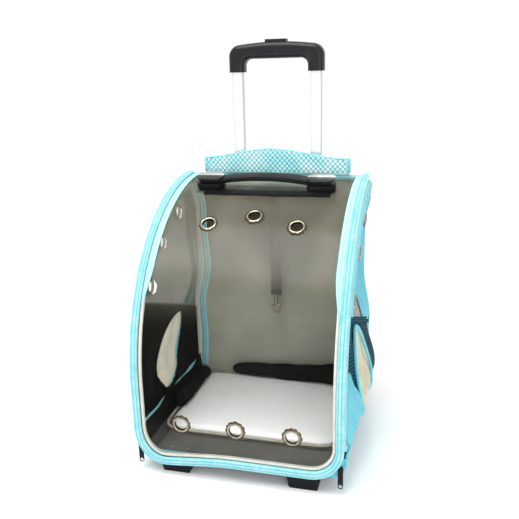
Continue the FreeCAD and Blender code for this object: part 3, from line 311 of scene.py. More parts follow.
def plush(name, light, dark):
    kit = Finish(name, Sheen_Weight=0.4, Sheen_Roughness=0.6, Specular_IOR_Level=0.1)
    spot = kit.where()
    pile = kit.noise(spot, 620.0, 4.0)
    tufts = kit.cells(spot, 260.0)
    dents = kit.noise(spot, 18.0, 3.0)
    kit.feed(Base_Color=kit.blend((pile * 0.6 + dents * 0.7 - 0.15).rise(0.0, 1.0), dark, light),
             Roughness=dents * 0.08 + 0.9)
    return kit.bump(pile + tufts * 0.5 + dents * 2.0, 0.0009)


def ribbedWebbing(name, light, dark):
    kit = Finish(name, Sheen_Weight=0.2, Specular_IOR_Level=0.25)
    spot = kit.where("UV")
    across, along, none = kit.axes(spot)
    ribs = waves(along, 0.0016)
    warp = waves(across, 0.0024)
    fuzz = kit.noise(spot, 800.0)
    tone = ribs * 0.25 + warp * 0.15 + fuzz * 0.6 + 0.15
    kit.feed(Base_Color=kit.blend(tone.rise(0.0, 1.0), dark, light), Roughness=fuzz * 0.15 + 0.75)
    return kit.bump(ribs * 0.6 + warp * 0.4 + fuzz * 0.3, 0.0004)


def cappedPlastic(name, level, silver, black):
    # silver plate above a level, black moulding below it
    kit = Finish(name)
    spot = kit.where()
    plate = kit.axes(spot)[2].over(level)
    scratch = kit.noise(kit.stretch(spot, (30.0, 220.0, 30.0)), 12.0, 3.0)
    kit.feed(Base_Color=kit.blend(plate, black, silver), Metallic=plate, Roughness=scratch * 0.2 + 0.22)
    return kit.bump(scratch, 0.00004)


def zipCoil(name, light, dark):
    kit = Finish(name, Specular_IOR_Level=0.4)
    spot = kit.where("UV")
    along = kit.axes(spot)[1]
    teeth = waves(along, 0.0017)
    kit.feed(Base_Color=kit.blend(teeth.rise(-0.6, 0.7), dark, light), Roughness=teeth * 0.08 + 0.45)
    return kit.bump(teeth, 0.0006)


def rubber(name, colour, dust):
    kit = Finish(name, Specular_IOR_Level=0.3)
    spot = kit.where()
    fine = kit.noise(spot, 900.0, 3.0)
    scuff = kit.noise(spot, 70.0, 5.0)
    kit.feed(Base_Color=kit.blend(scuff.rise(0.5, 0.8), colour, dust),
             Roughness=scuff * 0.2 + fine * 0.1 + 0.6)
    return kit.bump(fine + scuff * 2.0, 0.0002)


tubeSides = {"half": 0.0090, "clear": 0.0070, "spread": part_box("inner_tubes")[1][0] - 0.0090}
# the top, the fold line and the crown under the handle are painted reflection, in the light and dark
# colours
vinyl = {"rough": 0.20, "ior": 1.42, "middle": 0.003, "top": 0.24, "topGlareZ": (0.24, 0.36),
         "base": 0.026, "baseZ": (0.055, 0.11), "fold": 0.040, "glareLineZ": 0.305,
         "crown": 0.5, "handleGlareZ": (0.424, 0.430), "handleGlareX": (0.078, 0.094),
         "light": shade(140, 138, 120), "dark": shade(112, 110, 95)}
cyanLight, cyanDark = shade(134, 224, 238), shade(80, 190, 214)
trayLight, trayDark = shade(148, 232, 243), shade(92, 200, 222)
blackDeep, blackWorn = shade(20, 20, 22), shade(40, 41, 44)
tubeBright, tubeDull, tubeStreak = shade(247, 247, 245), shade(243, 243, 240), (900.0, 900.0, 6.0)
finishes = {
    "vinyl": clearVinyl(vinyl),
    "smoke": smokeVinyl("smokeVinyl", shade(100, 100, 86), shade(70, 70, 60), 0.72),
    "leaf": smokeVinyl("leafVinyl", shade(236, 231, 200), shade(216, 208, 172), 0.62),
    "binding": bindingTape("cyanBinding", shade(188, 234, 236), shade(100, 198, 212)),
    "paleBinding": bindingTape("paleBinding", shade(206, 250, 250), shade(160, 234, 238)),
    "deepBinding": bindingTape("deepCyanBinding", shade(132, 230, 238), shade(70, 186, 206)),
    "seamTape": bindingTape("creamSeamTape", shade(236, 234, 224), shade(200, 197, 182)),
    "matEdge": bindingTape("taupeMatEdge", shade(206, 200, 184), shade(142, 134, 118)),
    "cyanCloth": wovenCloth("cyanCloth", cyanLight, cyanDark, "UV"),
    "trayCloth": wovenCloth("trayCloth", trayLight, trayDark, "UV", sole=0.0275),
    "knit": airKnit("navyKnit", shade(7, 20, 42), shade(32, 108, 128), 0.0062),
    "blackCloth": wovenCloth("blackCloth", shade(19, 18, 23), shade(6, 6, 8), "UV",
                             sheen=0.0, soil=0.7, gloss=0.08),
    "lining": wovenCloth("darkLining", shade(60, 58, 54), shade(28, 27, 27), soil=0.6),
    "floorCloth": wovenCloth("floorCloth", shade(92, 92, 84), shade(58, 57, 52), soil=0.7),
    "mat": plush("matPlush", shade(253, 253, 252), shade(236, 236, 233)),
    "padMesh": airKnit("padMesh", shade(24, 26, 32), shade(66, 70, 80), 0.0052, "Object"),
    "net": diamondNet("quiltedNet", shade(214, 252, 252), shade(166, 236, 242), shade(34, 112, 132),
                      0.0085),
    "webbing": ribbedWebbing("oliveWebbing", shade(44, 40, 28), shade(22, 20, 14)),
    "strapWebbing": ribbedWebbing("strapWebbing", shade(52, 54, 58), shade(22, 23, 26)),
    "coil": zipCoil("tealZip", shade(56, 150, 166), shade(14, 74, 90)),
    "board": mouldedPlastic("boardBlack", shade(34, 34, 37), shade(58, 58, 60), 0.7, 500.0, 0.0002),
    "plastic": mouldedPlastic("blackPlastic", blackDeep, blackWorn, 0.42, gloss=0.14),
    "gripPlastic": mouldedPlastic("gripPlastic", shade(15, 16, 19), shade(30, 33, 39), 0.34, 900.0,
                                  0.00012, gloss=0.32),
    "darkScrew": plated("darkScrew", shade(62, 62, 64), shade(38, 38, 40), 0.3),
    "silver": cappedPlastic("capSilver", 0.4462, shade(226, 226, 222), blackDeep),
    "tube": plated("anodisedTube", tubeBright, tubeDull, 0.3, tubeStreak),
    # painted shade along the long edges and side faces of the inner tubes
    "innerTube": plated("innerTube", tubeBright, tubeDull, 0.3, tubeStreak, shade(204, 204, 196),
                        tubeSideShade),
    # painted shade darkens the bore and rim of each hood eyelet
    "nickel": plated("agedNickel", shade(190, 180, 159), shade(104, 94, 76), 0.2,
                     paintedShade=shade(62, 53, 40), place=eyeletPaintedShade),
    # painted shade darkens the bore and rim of each door eyelet
    "doorNickel": plated("doorNickel", shade(214, 211, 194), shade(186, 181, 162), 0.45,
                         paintedShade=shade(120, 114, 98), place=eyeletPaintedShade),
    "hook": plated("hookMetal", shade(146, 140, 120), shade(70, 64, 50), 0.28),
    "steel": plated("zincSteel", shade(196, 197, 200), shade(150, 150, 152), 0.3),
    "nylon": mouldedPlastic("naturalNylon", shade(226, 224, 214), shade(206, 202, 188), 0.5),
    "tyre": rubber("tyreRubber", shade(24, 24, 25), shade(58, 57, 55)),
    "hub": mouldedPlastic("hubGrey", shade(96, 98, 101), shade(132, 134, 136), 0.45),
}
print("finishes ready:", len(finishes))


# Modelling helpers
def take(obj):
    bpy.ops.object.select_all(action="DESELECT")
    obj.select_set(True)
    bpy.context.view_layer.objects.active = obj
    return obj


def tidy(obj, outside=True):
    take(obj)
    bpy.ops.object.mode_set(mode="EDIT")
    bpy.ops.mesh.select_all(action="SELECT")
    bpy.ops.mesh.remove_doubles(threshold=1e-5)
    if outside:
        bpy.ops.mesh.normals_make_consistent(inside=False)
    bpy.ops.object.mode_set(mode="OBJECT")
    return obj


def turnFaces(obj):
    take(obj)
    bpy.ops.object.mode_set(mode="EDIT")
    bpy.ops.mesh.select_all(action="SELECT")
    bpy.ops.mesh.flip_normals()
    bpy.ops.object.mode_set(mode="OBJECT")
    return obj


def modify(obj, kind, **settings):
    take(obj)
    step = obj.modifiers.new(kind.lower(), kind)
    for key, value in settings.items():
        setattr(step, key, value)
    bpy.ops.object.modifier_apply(modifier=step.name)
    return obj


def smooth(obj, angle=40):
    take(obj)
    bpy.ops.object.shade_smooth_by_angle(angle=math.radians(angle))
    return obj


def thickened(obj, thick, offset=0.0, angle=60):
    modify(obj, "SOLIDIFY", thickness=thick, offset=offset)
    return smooth(obj, angle)


def joined(name, pieces):
    take(pieces[0])
    for piece in pieces[1:]:
        piece.select_set(True)
    bpy.ops.object.join()
    whole = bpy.context.object
    whole.name = name
    return whole


# A grid is laid out flat and each of its points is then moved to place(u, v)
def skin(name, across, along, place, uvSize=(1.0, 1.0), closed=False):
    bpy.ops.object.select_all(action="DESELECT")
    bpy.ops.mesh.primitive_grid_add(x_subdivisions=across, y_subdivisions=along, size=1.0)
    obj = bpy.context.object
    obj.name = name
    for vert in obj.data.vertices:
        vert.co = place(vert.co.x + 0.5, vert.co.y + 0.5)
    for loop in obj.data.uv_layers.active.data:
        loop.uv = (loop.uv[0] * uvSize[0], loop.uv[1] * uvSize[1])
    bpy.ops.object.shade_smooth()
    return tidy(obj, outside=closed)


def dropFaces(obj, unwanted):
    take(obj)
    bpy.context.tool_settings.mesh_select_mode = (False, False, True)
    bpy.ops.object.mode_set(mode="EDIT")
    bpy.ops.mesh.select_all(action="DESELECT")
    bpy.ops.object.mode_set(mode="OBJECT")
    for face in obj.data.polygons:
        face.select = bool(unwanted(face.center))
    bpy.ops.object.mode_set(mode="EDIT")
    bpy.ops.mesh.delete(type="FACE")
    bpy.ops.object.mode_set(mode="OBJECT")
    return obj


def spread(low, high, steps):
    return [low + (high - low) * i / steps for i in range(steps + 1)]


def corners(node):
    return [Vector(corner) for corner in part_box(node)]


def oval(size, steps=12):
    turns = [2 * math.pi * i / steps for i in range(steps)]
    return [(size / 2 * math.cos(turn), size / 2 * math.sin(turn)) for turn in turns]


def squarish(angle, power):
    # a point on the rim of a square with soft corners, tighter with a higher power
    c, s = math.cos(angle), math.sin(angle)
    reach = (abs(c) ** power + abs(s) ** power) ** (-1 / power)
    return c * reach, s * reach


def bar(wide, high, corner, steps=3):
    # rounded bar section, anticlockwise
    section = []
    for quarter, (sx, sy) in enumerate(((1, 1), (-1, 1), (-1, -1), (1, -1))):
        for step in range(steps + 1):
            angle = math.pi / 2 * (quarter + step / steps)
            section.append((sx * (wide / 2 - corner) + corner * math.cos(angle),
                            sy * (high / 2 - corner) + corner * math.sin(angle)))
    return section


# A section is carried along (point, outward) pairs; its ends close on a point
def sweep(name, path, section, ring=False, tip=0.0):
    points = [Vector(point) for point, out in path]
    last = len(points) - 1
    rows = []
    run = 0.0
    for i, point in enumerate(points):
        after = points[1 if ring and i == last else min(i + 1, last)]
        before = points[last - 1 if ring and i == 0 else max(i - 1, 0)]
        ahead = (after - before).normalized()
        out = Vector(path[i][1])
        out = (out - ahead * out.dot(ahead)).normalized()
        run += (point - points[i - 1]).length if i else 0.0
        rows.append((point, ahead.cross(out), out, 1.0, run, ahead))
    if not ring:
        # rounded tips, or flat ends where tip is 0
        turns = [math.pi / 2 * k / 5 for k in range(1, 6)] if tip else [math.pi / 2]
        for turn in turns:
            for end, way, place in ((0, -1, 0), (last, 1, len(rows) + 1)):
                side, out, grow, run, ahead = rows[min(place, len(rows) - 1)][1:]
                tipPoint = points[end] + ahead * way * tip * math.sin(turn)
                rows.insert(place, (tipPoint, side, out, max(math.cos(turn), 0.0), run, ahead))
    girth = [0.0]
    for i, (side, out) in enumerate(section):
        after = section[(i + 1) % len(section)]
        girth.append(girth[-1] + math.hypot(after[0] - side, after[1] - out))

    def at(u, v):
        point, side, out, grow = rows[round(v * (len(rows) - 1))][:4]
        along, up = section[round(u * len(section)) % len(section)]
        return point + side * along * grow + out * up * grow

    obj = skin(name, len(section), len(rows) - 1, at)
    for loop in obj.data.uv_layers.active.data:
        u, v = loop.uv
        loop.uv = (girth[round(u * len(section))], rows[round(v * (len(rows) - 1))][4])
    return tidy(obj)


def fitted(node, name, width, segments=2, angle=30):
    # a softened copy of a rigid CAD form
    obj = bpy.data.objects.new(name, nodes[node].data.copy())
    bpy.context.collection.objects.link(obj)
    obj.data.materials.clear()
    take(obj)
    bpy.ops.object.mode_set(mode="EDIT")
    bpy.ops.mesh.select_all(action="SELECT")
    bpy.ops.mesh.customdata_custom_splitnormals_clear()
    bpy.ops.mesh.remove_doubles(threshold=2e-6)
    bpy.ops.mesh.dissolve_limited(angle_limit=math.radians(0.8))
    bpy.ops.object.mode_set(mode="OBJECT")
    modify(obj, "BEVEL", width=width, segments=segments, limit_method="ANGLE",
           angle_limit=math.radians(angle))
    return smooth(obj, 35)


def plump(obj, pressure, cap, voxel):
    # swells a closed pad with the cloth solver, no point further than the cap
    modify(obj, "REMESH", mode="VOXEL", voxel_size=voxel)
    before = [vert.co.copy() for vert in obj.data.vertices]
    take(obj)
    cloth = obj.modifiers.new("cloth", "CLOTH")
    cloth.settings.use_pressure = True
    cloth.settings.uniform_pressure_force = pressure
    cloth.settings.effector_weights.gravity = 0
    cloth.point_cache.frame_end = 20
    for step in range(1, 21):
        bpy.context.scene.frame_set(step)
    bpy.ops.object.modifier_apply(modifier="cloth")
    bpy.context.scene.frame_set(1)
    for vert, rest in zip(obj.data.vertices, before):
        move = vert.co - rest
        if move.length > cap:
            vert.co = rest + move * (cap / move.length)
    return obj


def finished(obj, body, looks, slot, *replaced):
    if len(obj.data.materials) != len(looks):
        obj.data.materials.clear()
        for look in looks:
            obj.data.materials.append(finishes[look])
    if isinstance(body, tuple):
        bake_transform(obj)
    else:
        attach(obj, body)
    if replaced:
        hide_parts(*replaced)
    return obj


def twoSided(obj, thick, outer, inner):
    # wall with one finish outside and another inside
    obj.data.materials.append(finishes[outer])
    obj.data.materials.append(finishes[inner])
    modify(obj, "SOLIDIFY", thickness=thick, offset=-1.0, material_offset=1, use_even_offset=False)
    return obj


def ease(value):
    value = min(max(value, 0.0), 1.0)
    return value * value * (3 - 2 * value)


# The bag's lines, read from the frame
hoodLow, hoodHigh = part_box("hood_window")
sheetRadius = hoodHigh[1] - hoodLow[1]
bag = {"centreY": hoodHigh[1], "centreZ": hoodHigh[2] - sheetRadius, "low": hoodLow[2],
       "sheet": sheetRadius, "edge": sheetRadius + 0.004,
       "rear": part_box("left_door_mesh")[1][1], "doorLow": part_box("left_door_mesh")[0][2],
       "doorX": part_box("right_door_mesh")[1][0] - 0.0015,
       "wall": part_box("back_board")[0][1], "wallTop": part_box("back_board")[1][2],
       "sag": 0.010, "waist": 0.0110, "waistLow": 0.185, "waistHigh": 0.425}
upright = bag["centreZ"] - bag["low"]
hoodLength = upright + bag["sheet"] * math.pi / 2


def hoodSpot(x, run, out=0.0):
    # a point of the hood, by its distance up from the lower edge
    if run < upright:
        sag = bag["sag"] * ease(-x / 0.15) * ease((0.056 - run) / 0.06)
        return Vector((x, bag["centreY"] - bag["sheet"] - out, bag["low"] + run - sag))
    angle = (run - upright) / bag["sheet"]
    reach = bag["sheet"] + out
    y = bag["centreY"] - reach * math.cos(angle)
    return Vector((x, y, bag["centreZ"] + reach * math.sin(angle)))


def hoodOut(run):
    angle = max(run - upright, 0.0) / bag["sheet"]
    return Vector((0.0, -math.cos(angle), math.sin(angle)))


def bandPath(half, low, corner, out, top=None):
    # up one side of the hood, round its lower corners and up the other
    top = hoodLength if top is None else top
    steps = 56
    flat = [(-half, top + (low + corner - top) * i / steps) for i in range(steps)]
    for turn in spread(0, math.pi / 2, 9):
        flat.append((-half + corner - corner * math.cos(turn), low + corner - corner * math.sin(turn)))
    middle = [((half - corner) * (i / 14 * 2 - 1), low) for i in range(1, 14)]
    whole = flat + middle + [(-x, run) for x, run in reversed(flat)]
    return [(hoodSpot(x, run, out), hoodOut(run)) for x, run in whole]


# Clear hood sheet with its eyelet holes
hood = {"half": 0.1580, "across": 90, "along": 156, "thick": 0.0009, "hole": 0.0125, "corner": 0.0440,
        "wave": 0.0007, "dish": 0.0015}
eyelets = [(-0.088, -0.17325, 0.090), (0.0, -0.17325, 0.090), (0.088, -0.17325, 0.090),
           (-0.072, -0.05115, 0.38166), (0.0, -0.03441, 0.39254), (0.072, -0.05115, 0.38166)]


def hoodAt(u, v):
    run = v * hoodLength
    half = hood["half"]
    if run < hood["corner"]:
        corner = hood["corner"]
        half += math.sqrt(corner ** 2 - (corner - run) ** 2) - corner
    x = (2 * u - 1) * half
    held = (1 - (2 * u - 1) ** 2) * ease(run / 0.05) * ease((hoodLength - run) / 0.08)
    ripple = math.sin(x * 31 + run * 9) * math.cos(run * 17 - x * 6)
    ripple += 0.5 * math.sin(x * 58 - run * 21)
    dish = hood["dish"] * ease((run - 0.06) / 0.2) * ease((0.52 - run) / 0.2)
    out = hood["wave"] * ripple - dish
    return hoodSpot(x, run, out * held)


# Wide pale edging beside the upper binding, with a teal line between them
edging = {"outer": 0.1546, "wide": 0.0115, "start": 0.095, "grow": 0.10, "out": 0.0014, "line": 0.0024,
          "lineOut": 0.0020, "least": 0.0004, "thick": 0.0010}


def buildEdging():
    start = upright + edging["start"]
    reach = hoodLength - 0.002 - start
    strips, lines = [], []
    for side in (-1, 1):
        def at(u, v):
            wide = edging["wide"] * ease(reach * v / edging["grow"]) + edging["least"]
            return hoodSpot(side * (edging["outer"] - wide * u), start + reach * v, edging["out"])

        strip = skin("edging", 8, 70, at, (edging["wide"], reach))
        modify(strip, "SOLIDIFY", thickness=edging["thick"], offset=0.0)
        strips.append(strip)
        seam = [(hoodSpot(side * edging["outer"], run, edging["lineOut"]), hoodOut(run))
                for run in spread(start, start + reach, 60)]
        lines.append(sweep("edgingLine", seam, oval(edging["line"], 8)))
    finished(smooth(joined("hoodEdging", strips), 60), "bag", ["paleBinding"], "cyan_binding")
    finished(joined("hoodEdgingLine", lines), "bag", ["coil"], "zip_tape")


# Bound edge, rear hem, seam tape, zip and handle patch of the hood
band = {"half": 0.1603, "low": -0.0026, "corner": 0.046, "out": 0.0036,
        "section": bar(0.0128, 0.0066, 0.0030), "tip": 0.006}
hem = {"half": 0.16, "y": 0.1172, "z": 0.4332, "section": bar(0.0095, 0.0085, 0.0035)}
seamTape = {"half": 0.1512, "low": 0.0066, "corner": 0.0375, "top": 0.288, "outside": 0.0012,
            "inside": -0.0022, "section": bar(0.0042, 0.0012, 0.0005, 2)}
zips = {"start": 0.022, "x": 0.1601, "out": -0.0052, "coil": oval(0.0044, 10), "tapeX": 0.1600,
        "tapeOut": -0.0072, "tape": bar(0.0090, 0.0012, 0.0005, 2)}
patch = {"left": -0.102, "right": 0.112, "front": 0.014, "back": 0.030, "off": 0.0008, "thick": 0.0012}


def patchAt(u, v):
    y = patch["front"] + (patch["back"] - patch["front"]) * v
    run = upright + bag["sheet"] * math.acos((bag["centreY"] - y) / bag["sheet"])
    return hoodSpot(patch["left"] + (patch["right"] - patch["left"]) * u, run, patch["off"])


def buildHood():
    sheet = skin("hoodSheet", hood["across"], hood["along"], hoodAt, (2 * hood["half"], hoodLength))
    dropFaces(sheet, lambda spot: any((spot - Vector(hole)).length < hood["hole"] for hole in eyelets))
    thickened(sheet, hood["thick"], -1.0)
    finished(sheet, "bag", ["vinyl"], "clear_vinyl", "hood_window")

    line = bandPath(band["half"], band["low"], band["corner"], band["out"])
    edge = sweep("hoodBinding", line, band["section"], tip=band["tip"])
    line = [(Vector((x, hem["y"], hem["z"])), Vector((0, 0, 1)))
            for x in spread(-hem["half"], hem["half"], 30)]
    hemBand = sweep("hoodHem", line, hem["section"])
    finished(joined("hoodBinding", [edge, hemBand]), "bag", ["binding"], "cyan_binding", "hood_binding")

    for name, face in (("hoodSeamTape", "outside"), ("hoodSeamTapeInside", "inside")):
        line = bandPath(seamTape["half"], seamTape["low"], seamTape["corner"], seamTape[face],
                        hoodLength - 0.004)
        line = [step for step in line if step[0].z < seamTape["top"]]
        strip = sweep(name, line, seamTape["section"])
        finished(strip, "bag", ["seamTape"], "cyan_binding")
    buildEdging()

    chains = []
    for side in (-1, 1):
        runs = spread(zips["start"], hoodLength - 0.002, 90)
        line = [(hoodSpot(side * zips["x"], run, zips["out"]), hoodOut(run)) for run in runs]
        chains.append(sweep("zipChain", line, zips["coil"]))
        line = [(hoodSpot(side * zips["tapeX"], run, zips["tapeOut"]), hoodOut(run)) for run in runs]
        chains.append(sweep("zipTape", line, zips["tape"]))
    finished(joined("zipChains", chains), "bag", ["coil"], "zip_tape", "zip_chains")

    size = (patch["right"] - patch["left"], patch["back"] - patch["front"])
    strip = skin("handlePatch", 40, 6, patchAt, size)
    finished(thickened(strip, patch["thick"], 1.0), "bag", ["plastic"], "black_plastic")
    print("hood, binding and zips done")


buildHood()


# Eyelets: a rolled rim, a flange with cut petals and a short barrel
eyelet = {"petals": 11, "steps": 66, "petalFrom": 0.0125, "cut": 0.0015, "wave": 0.0004,
          "profile": [(0.0095, -0.0026), (0.0095, 0.0008), (0.0099, 0.0016), (0.0108, 0.0021),
                      (0.0122, 0.0020), (0.0138, 0.0014), (0.0152, 0.0008), (0.0160, 0.0003),
                      (0.0158, -0.0002), (0.0124, -0.0001), (0.0104, -0.0014), (0.0132, -0.0019),
                      (0.0128, -0.0024), (0.0110, -0.0030), (0.0100, -0.0031)]}


def buildEyelet():
    profile = eyelet["profile"]

    def at(u, v):
        reach, up = profile[round(v * len(profile)) % len(profile)]
        angle = 2 * math.pi * u
        outer = ease((reach - eyelet["petalFrom"]) / 0.003)
        cut = 0.5 + 0.5 * math.cos(angle * eyelet["petals"] + 0.6 * math.sin(3 * angle))
        reach -= outer * eyelet["cut"] * cut ** 3
        up += outer * eyelet["wave"] * math.sin(angle * 5)
        return Vector((reach * math.cos(angle), reach * math.sin(angle), up))

    return skin("eyelet", eyelet["steps"], len(profile), at, closed=True)


def setEyelets(name, model, places, body, node, look="nickel"):
    copies = []
    for i, (spot, out) in enumerate(places):
        copy = model.copy()
        copy.data = model.data.copy()
        bpy.context.collection.objects.link(copy)
        turn = Vector((0, 0, 1)).rotation_difference(Vector(out)).to_matrix().to_4x4()
        copy.data.transform(Matrix.Translation(Vector(spot)) @ turn @ Matrix.Rotation(0.7 * i, 4, "Z"))
        copies.append(copy)
    finished(smooth(joined(name, copies), 35), body, [look], "nickel", node)


doorHoles = ((-0.08602, 0.28151), (-0.02812, 0.34146), (0.0468, 0.378))


def doorPlaces(side):
    return [((side * bag["doorX"], y, z), (side, 0, 0)) for y, z in doorHoles]


eyeletModel = buildEyelet()
hoodPlaces = []
for spot in eyelets:
    rise = max(spot[2] - bag["centreZ"], 0.0)
    angle = math.atan2(rise, bag["centreY"] - spot[1])
    hoodPlaces.append((spot, (0, -math.cos(angle), math.sin(angle))))
setEyelets("hoodEyelets", eyeletModel, hoodPlaces, "bag", "hood_grommets")


def waist(z):
    # the soft rear corners are drawn in at mid height
    return bag["waist"] * ease((z - bag["waistLow"]) / 0.085) * ease((bag["waistHigh"] - z) / 0.06)


# Side doors: smoked window above, knit panel with a leaf below, bound edge
door = {"bulge": {-1: 0.012, 1: 0.0200}, "bulgeZ": 0.118, "bulgeTall": 0.055,
        "cave": {-1: 0.013, 1: 0.017}, "caveZ": {-1: 0.262, 1: 0.295}, "caveTall": 0.06,
        "seamFront": 0.266, "seamAngle": 20.36, "inset": 0.0193, "corner": 0.0202, "bend": 0.028,
        "tapeFoot": 0.1, "hole": 0.0120, "windowThick": 0.0010, "knitThick": 0.0022}
# lines round a door: inset from the rim, lowest height, radius of the lower corner
doorEdges = {"binding": (0.0142, 0.0665, 0.0253), "tape": (0.0240, 0.0760, 0.019),
             "border": (0.0265, 0.0790, 0.015)}
# what is sewn along these lines and the seam, and how far it stands out from the panel
doorBars = {"binding": bar(0.0125, 0.0068, 0.0030), "seam": bar(0.0100, 0.0040, 0.0016),
            "tape": bar(0.0075, 0.0014, 0.0006, 2), "border": bar(0.0150, 0.0046, 0.0014)}
doorOff = {"binding": -0.0016, "seam": 0.0024, "tape": -0.0042, "border": 0.0012}
leaf = {"y": -0.046, "z": {-1: 0.1400, 1: 0.1455}, "tall": 0.0735, "wide": {-1: 0.056, 1: 0.047},
        "tilt": {-1: -32.0, 1: -8.0}, "shift": {-1: 0.036, 1: -0.004}, "thick": 0.0012,
        "trim": bar(0.0085, 0.0046, 0.0018), "trimOff": 0.0022,
        "tape": bar(0.0085, 0.0012, 0.0005, 2), "tapeOff": -0.0019}
doorReach = bag["edge"] - door["inset"]
doorFront = bag["centreY"] - doorReach
doorDepth = bag["rear"] - doorFront
seamFrontY = bag["centreY"] - math.sqrt(doorReach ** 2 - (door["seamFront"] - bag["centreZ"]) ** 2)


def seamHeight(y):
    return door["seamFront"] - (y - seamFrontY) * math.tan(math.radians(door["seamAngle"]))


def doorTop(y):
    return bag["centreZ"] + math.sqrt(max(doorReach ** 2 - (bag["centreY"] - y) ** 2, 0.0))


def doorFloor(y):
    gap = door["corner"] - (y - doorFront)
    if gap <= 0:
        return bag["doorLow"]
    return bag["doorLow"] + door["corner"] - math.sqrt(door["corner"] ** 2 - gap ** 2)


def doorOut(side, y, z):
    # the panel swells low down and caves in higher up, and is held at its edges
    if z < bag["centreZ"]:
        front = y - doorFront
    else:
        front = doorReach - math.hypot(bag["centreY"] - y, z - bag["centreZ"])
    held = ease(min(front / 0.105, (z - bag["doorLow"]) / 0.04, (bag["rear"] - y) / 0.045))
    low = math.exp(-((z - door["bulgeZ"]) / door["bulgeTall"]) ** 2)
    high = math.exp(-((z - door["caveZ"][side]) / door["caveTall"]) ** 2)
    back = min(max(front / (front + bag["rear"] - y + 1e-6), 0.0), 1.0) ** 0.8
    return held * (door["bulge"][side] * low - door["cave"][side] * high) - waist(z) * back


def doorSpot(side, y, z, out=0.0):
    return Vector((side * (bag["doorX"] + doorOut(side, y, z) + out), y, z))


def doorLine(inset, low, corner, steps=52):
    reach = bag["edge"] - inset
    start = math.acos((bag["centreY"] - bag["rear"]) / reach)
    line = [(bag["centreY"] - reach * math.cos(turn), bag["centreZ"] + reach * math.sin(turn))
            for turn in [start * (1 - i / steps) for i in range(steps + 1)]]
    front = bag["centreY"] - reach
    line += [(front, bag["centreZ"] + (low + corner - bag["centreZ"]) * i / 8) for i in range(1, 8)]
    for turn in spread(0, math.pi / 2, 8):
        line.append((front + corner - corner * math.cos(turn), low + corner - corner * math.sin(turn)))
    line += [(front + corner + (bag["rear"] - front - corner) * i / 24, low) for i in range(1, 25)]
    return line


def leafHalf(side, t):
    # half width at t, from -1 at the foot to 1 at the rounded head
    return leaf["wide"][side] * (1 - t * t) ** 0.60 * (1 + 0.16 * t)


def leafPlace(side, aside, along):
    turn = math.radians(leaf["tilt"][side])
    return (leaf["y"] + leaf["shift"][side] + aside * math.cos(turn) - along * math.sin(turn),
            leaf["z"][side] + aside * math.sin(turn) + along * math.cos(turn))


def inLeaf(side, y, z, grow):
    turn = math.radians(leaf["tilt"][side])
    y -= leaf["y"] + leaf["shift"][side]
    z -= leaf["z"][side]
    aside = y * math.cos(turn) + z * math.sin(turn)
    along = z * math.cos(turn) - y * math.sin(turn)
    t = along / (leaf["tall"] + grow)
    return abs(t) < 1 and abs(aside) < leafHalf(side, t) + grow


def doorRun(side, line, out):
    # (point, outward) pairs along a line of (y, z) on the door
    return [(doorSpot(side, y, z, out), Vector((side, 0, 0))) for y, z in line]


def hingeBlend(side, body):
    # the bag, the door's body and two points along the hinge; finished() only bakes such a piece in
    # place
    hinge = Vector((side * bag["doorX"], bag["rear"], 0.3))
    return "bag", body, hinge, hinge - Vector((0, door["bend"], 0))


def fromFront(side, u):
    # from 0 at the front of a door to 1 at its hinge, so that both doors face outwards
    return u if side > 0 else 1 - u


def buildWindow(side, label, body):
    def at(u, v):
        y = seamFrontY + (bag["rear"] - seamFrontY) * fromFront(side, u) ** 1.15
        low = seamHeight(y)
        return doorSpot(side, y, low + (max(doorTop(y), low) - low) * v + 0.002 * (v - 0.5) * 2)

    window = skin(label + "DoorWindow", 80, 60, at, (doorDepth, 0.23))
    dropFaces(window, lambda spot: any(math.hypot(spot.y - y, spot.z - z) < door["hole"]
                                       for y, z in doorHoles))
    thickened(window, door["windowThick"])
    finished(window, hingeBlend(side, body), ["smoke"], "smoke_vinyl", label + "_door_window")
    label + "_door_binding"


def buildKnit(side, label, body):
    def at(u, v):
        y = doorFront + doorDepth * fromFront(side, u)
        low = doorFloor(y) - 0.002
        top = min(doorTop(y), seamHeight(y)) + 0.002 if y > doorFront + 0.0005 else bag["centreZ"]
        z = low + (top - low) * v
        held = ease((y - doorFront) / 0.03) * ease((bag["rear"] - y) / 0.03)
        return doorSpot(side, y, z, 0.0009 * math.sin(y * 95 + z * 22) * held)

    mesh = skin(label + "DoorMesh", 96, 60, at, (doorDepth, 0.17))
    dropFaces(mesh, lambda spot: inLeaf(side, spot.y, spot.z, -0.0035))
    twoSided(mesh, door["knitThick"], "knit", "blackCloth")
    smooth(mesh, 60)
    finished(mesh, body, ["knit", "blackCloth"], "navy_mesh", label + "_door_mesh")
    label + "_door_binding"


def buildLeaf(side, label, body):
    def at(u, v):
        t = 2 * v - 1
        aside = (2 * fromFront(side, u) - 1) * (leafHalf(side, t * 0.9999) + 0.002)
        y, z = leafPlace(side, aside, t * (leaf["tall"] + 0.002))
        fold = 0.0016 * math.sin(aside * 120 + t * 3.0) + 0.0010 * math.sin(aside * 60 - t * 7)
        return doorSpot(side, y, z, fold * (1 - t * t) + 0.0012)

    pane = skin(label + "Leaf", 28, 56, at, (0.08, 0.13))
    thickened(pane, leaf["thick"])
    finished(pane, body, ["leaf"], "leaf_vinyl", label + "_leaf_window")
    label + "_leaf_trim"

    rim, liningRim = [], []
    for i in range(73):
        angle = 2 * math.pi * i / 72
        t = math.sin(angle)
        aside = math.copysign(leafHalf(side, t), math.cos(angle))
        y, z = leafPlace(side, aside, t * (leaf["tall"] + 0.001))
        rim.append((doorSpot(side, y, z, leaf["trimOff"]), Vector((side, 0, 0))))
        liningRim.append((doorSpot(side, y, z, leaf["tapeOff"]), Vector((-side, 0, 0))))
    trim = sweep(label + "LeafTrim", rim, leaf["trim"], ring=True)
    finished(trim, body, ["deepBinding"], "cyan_binding", label + "_leaf_trim")
    liningTape = sweep(label + "LeafTape", liningRim, leaf["tape"], ring=True)
    finished(liningTape, body, ["blackCloth"], "dark_cloth")


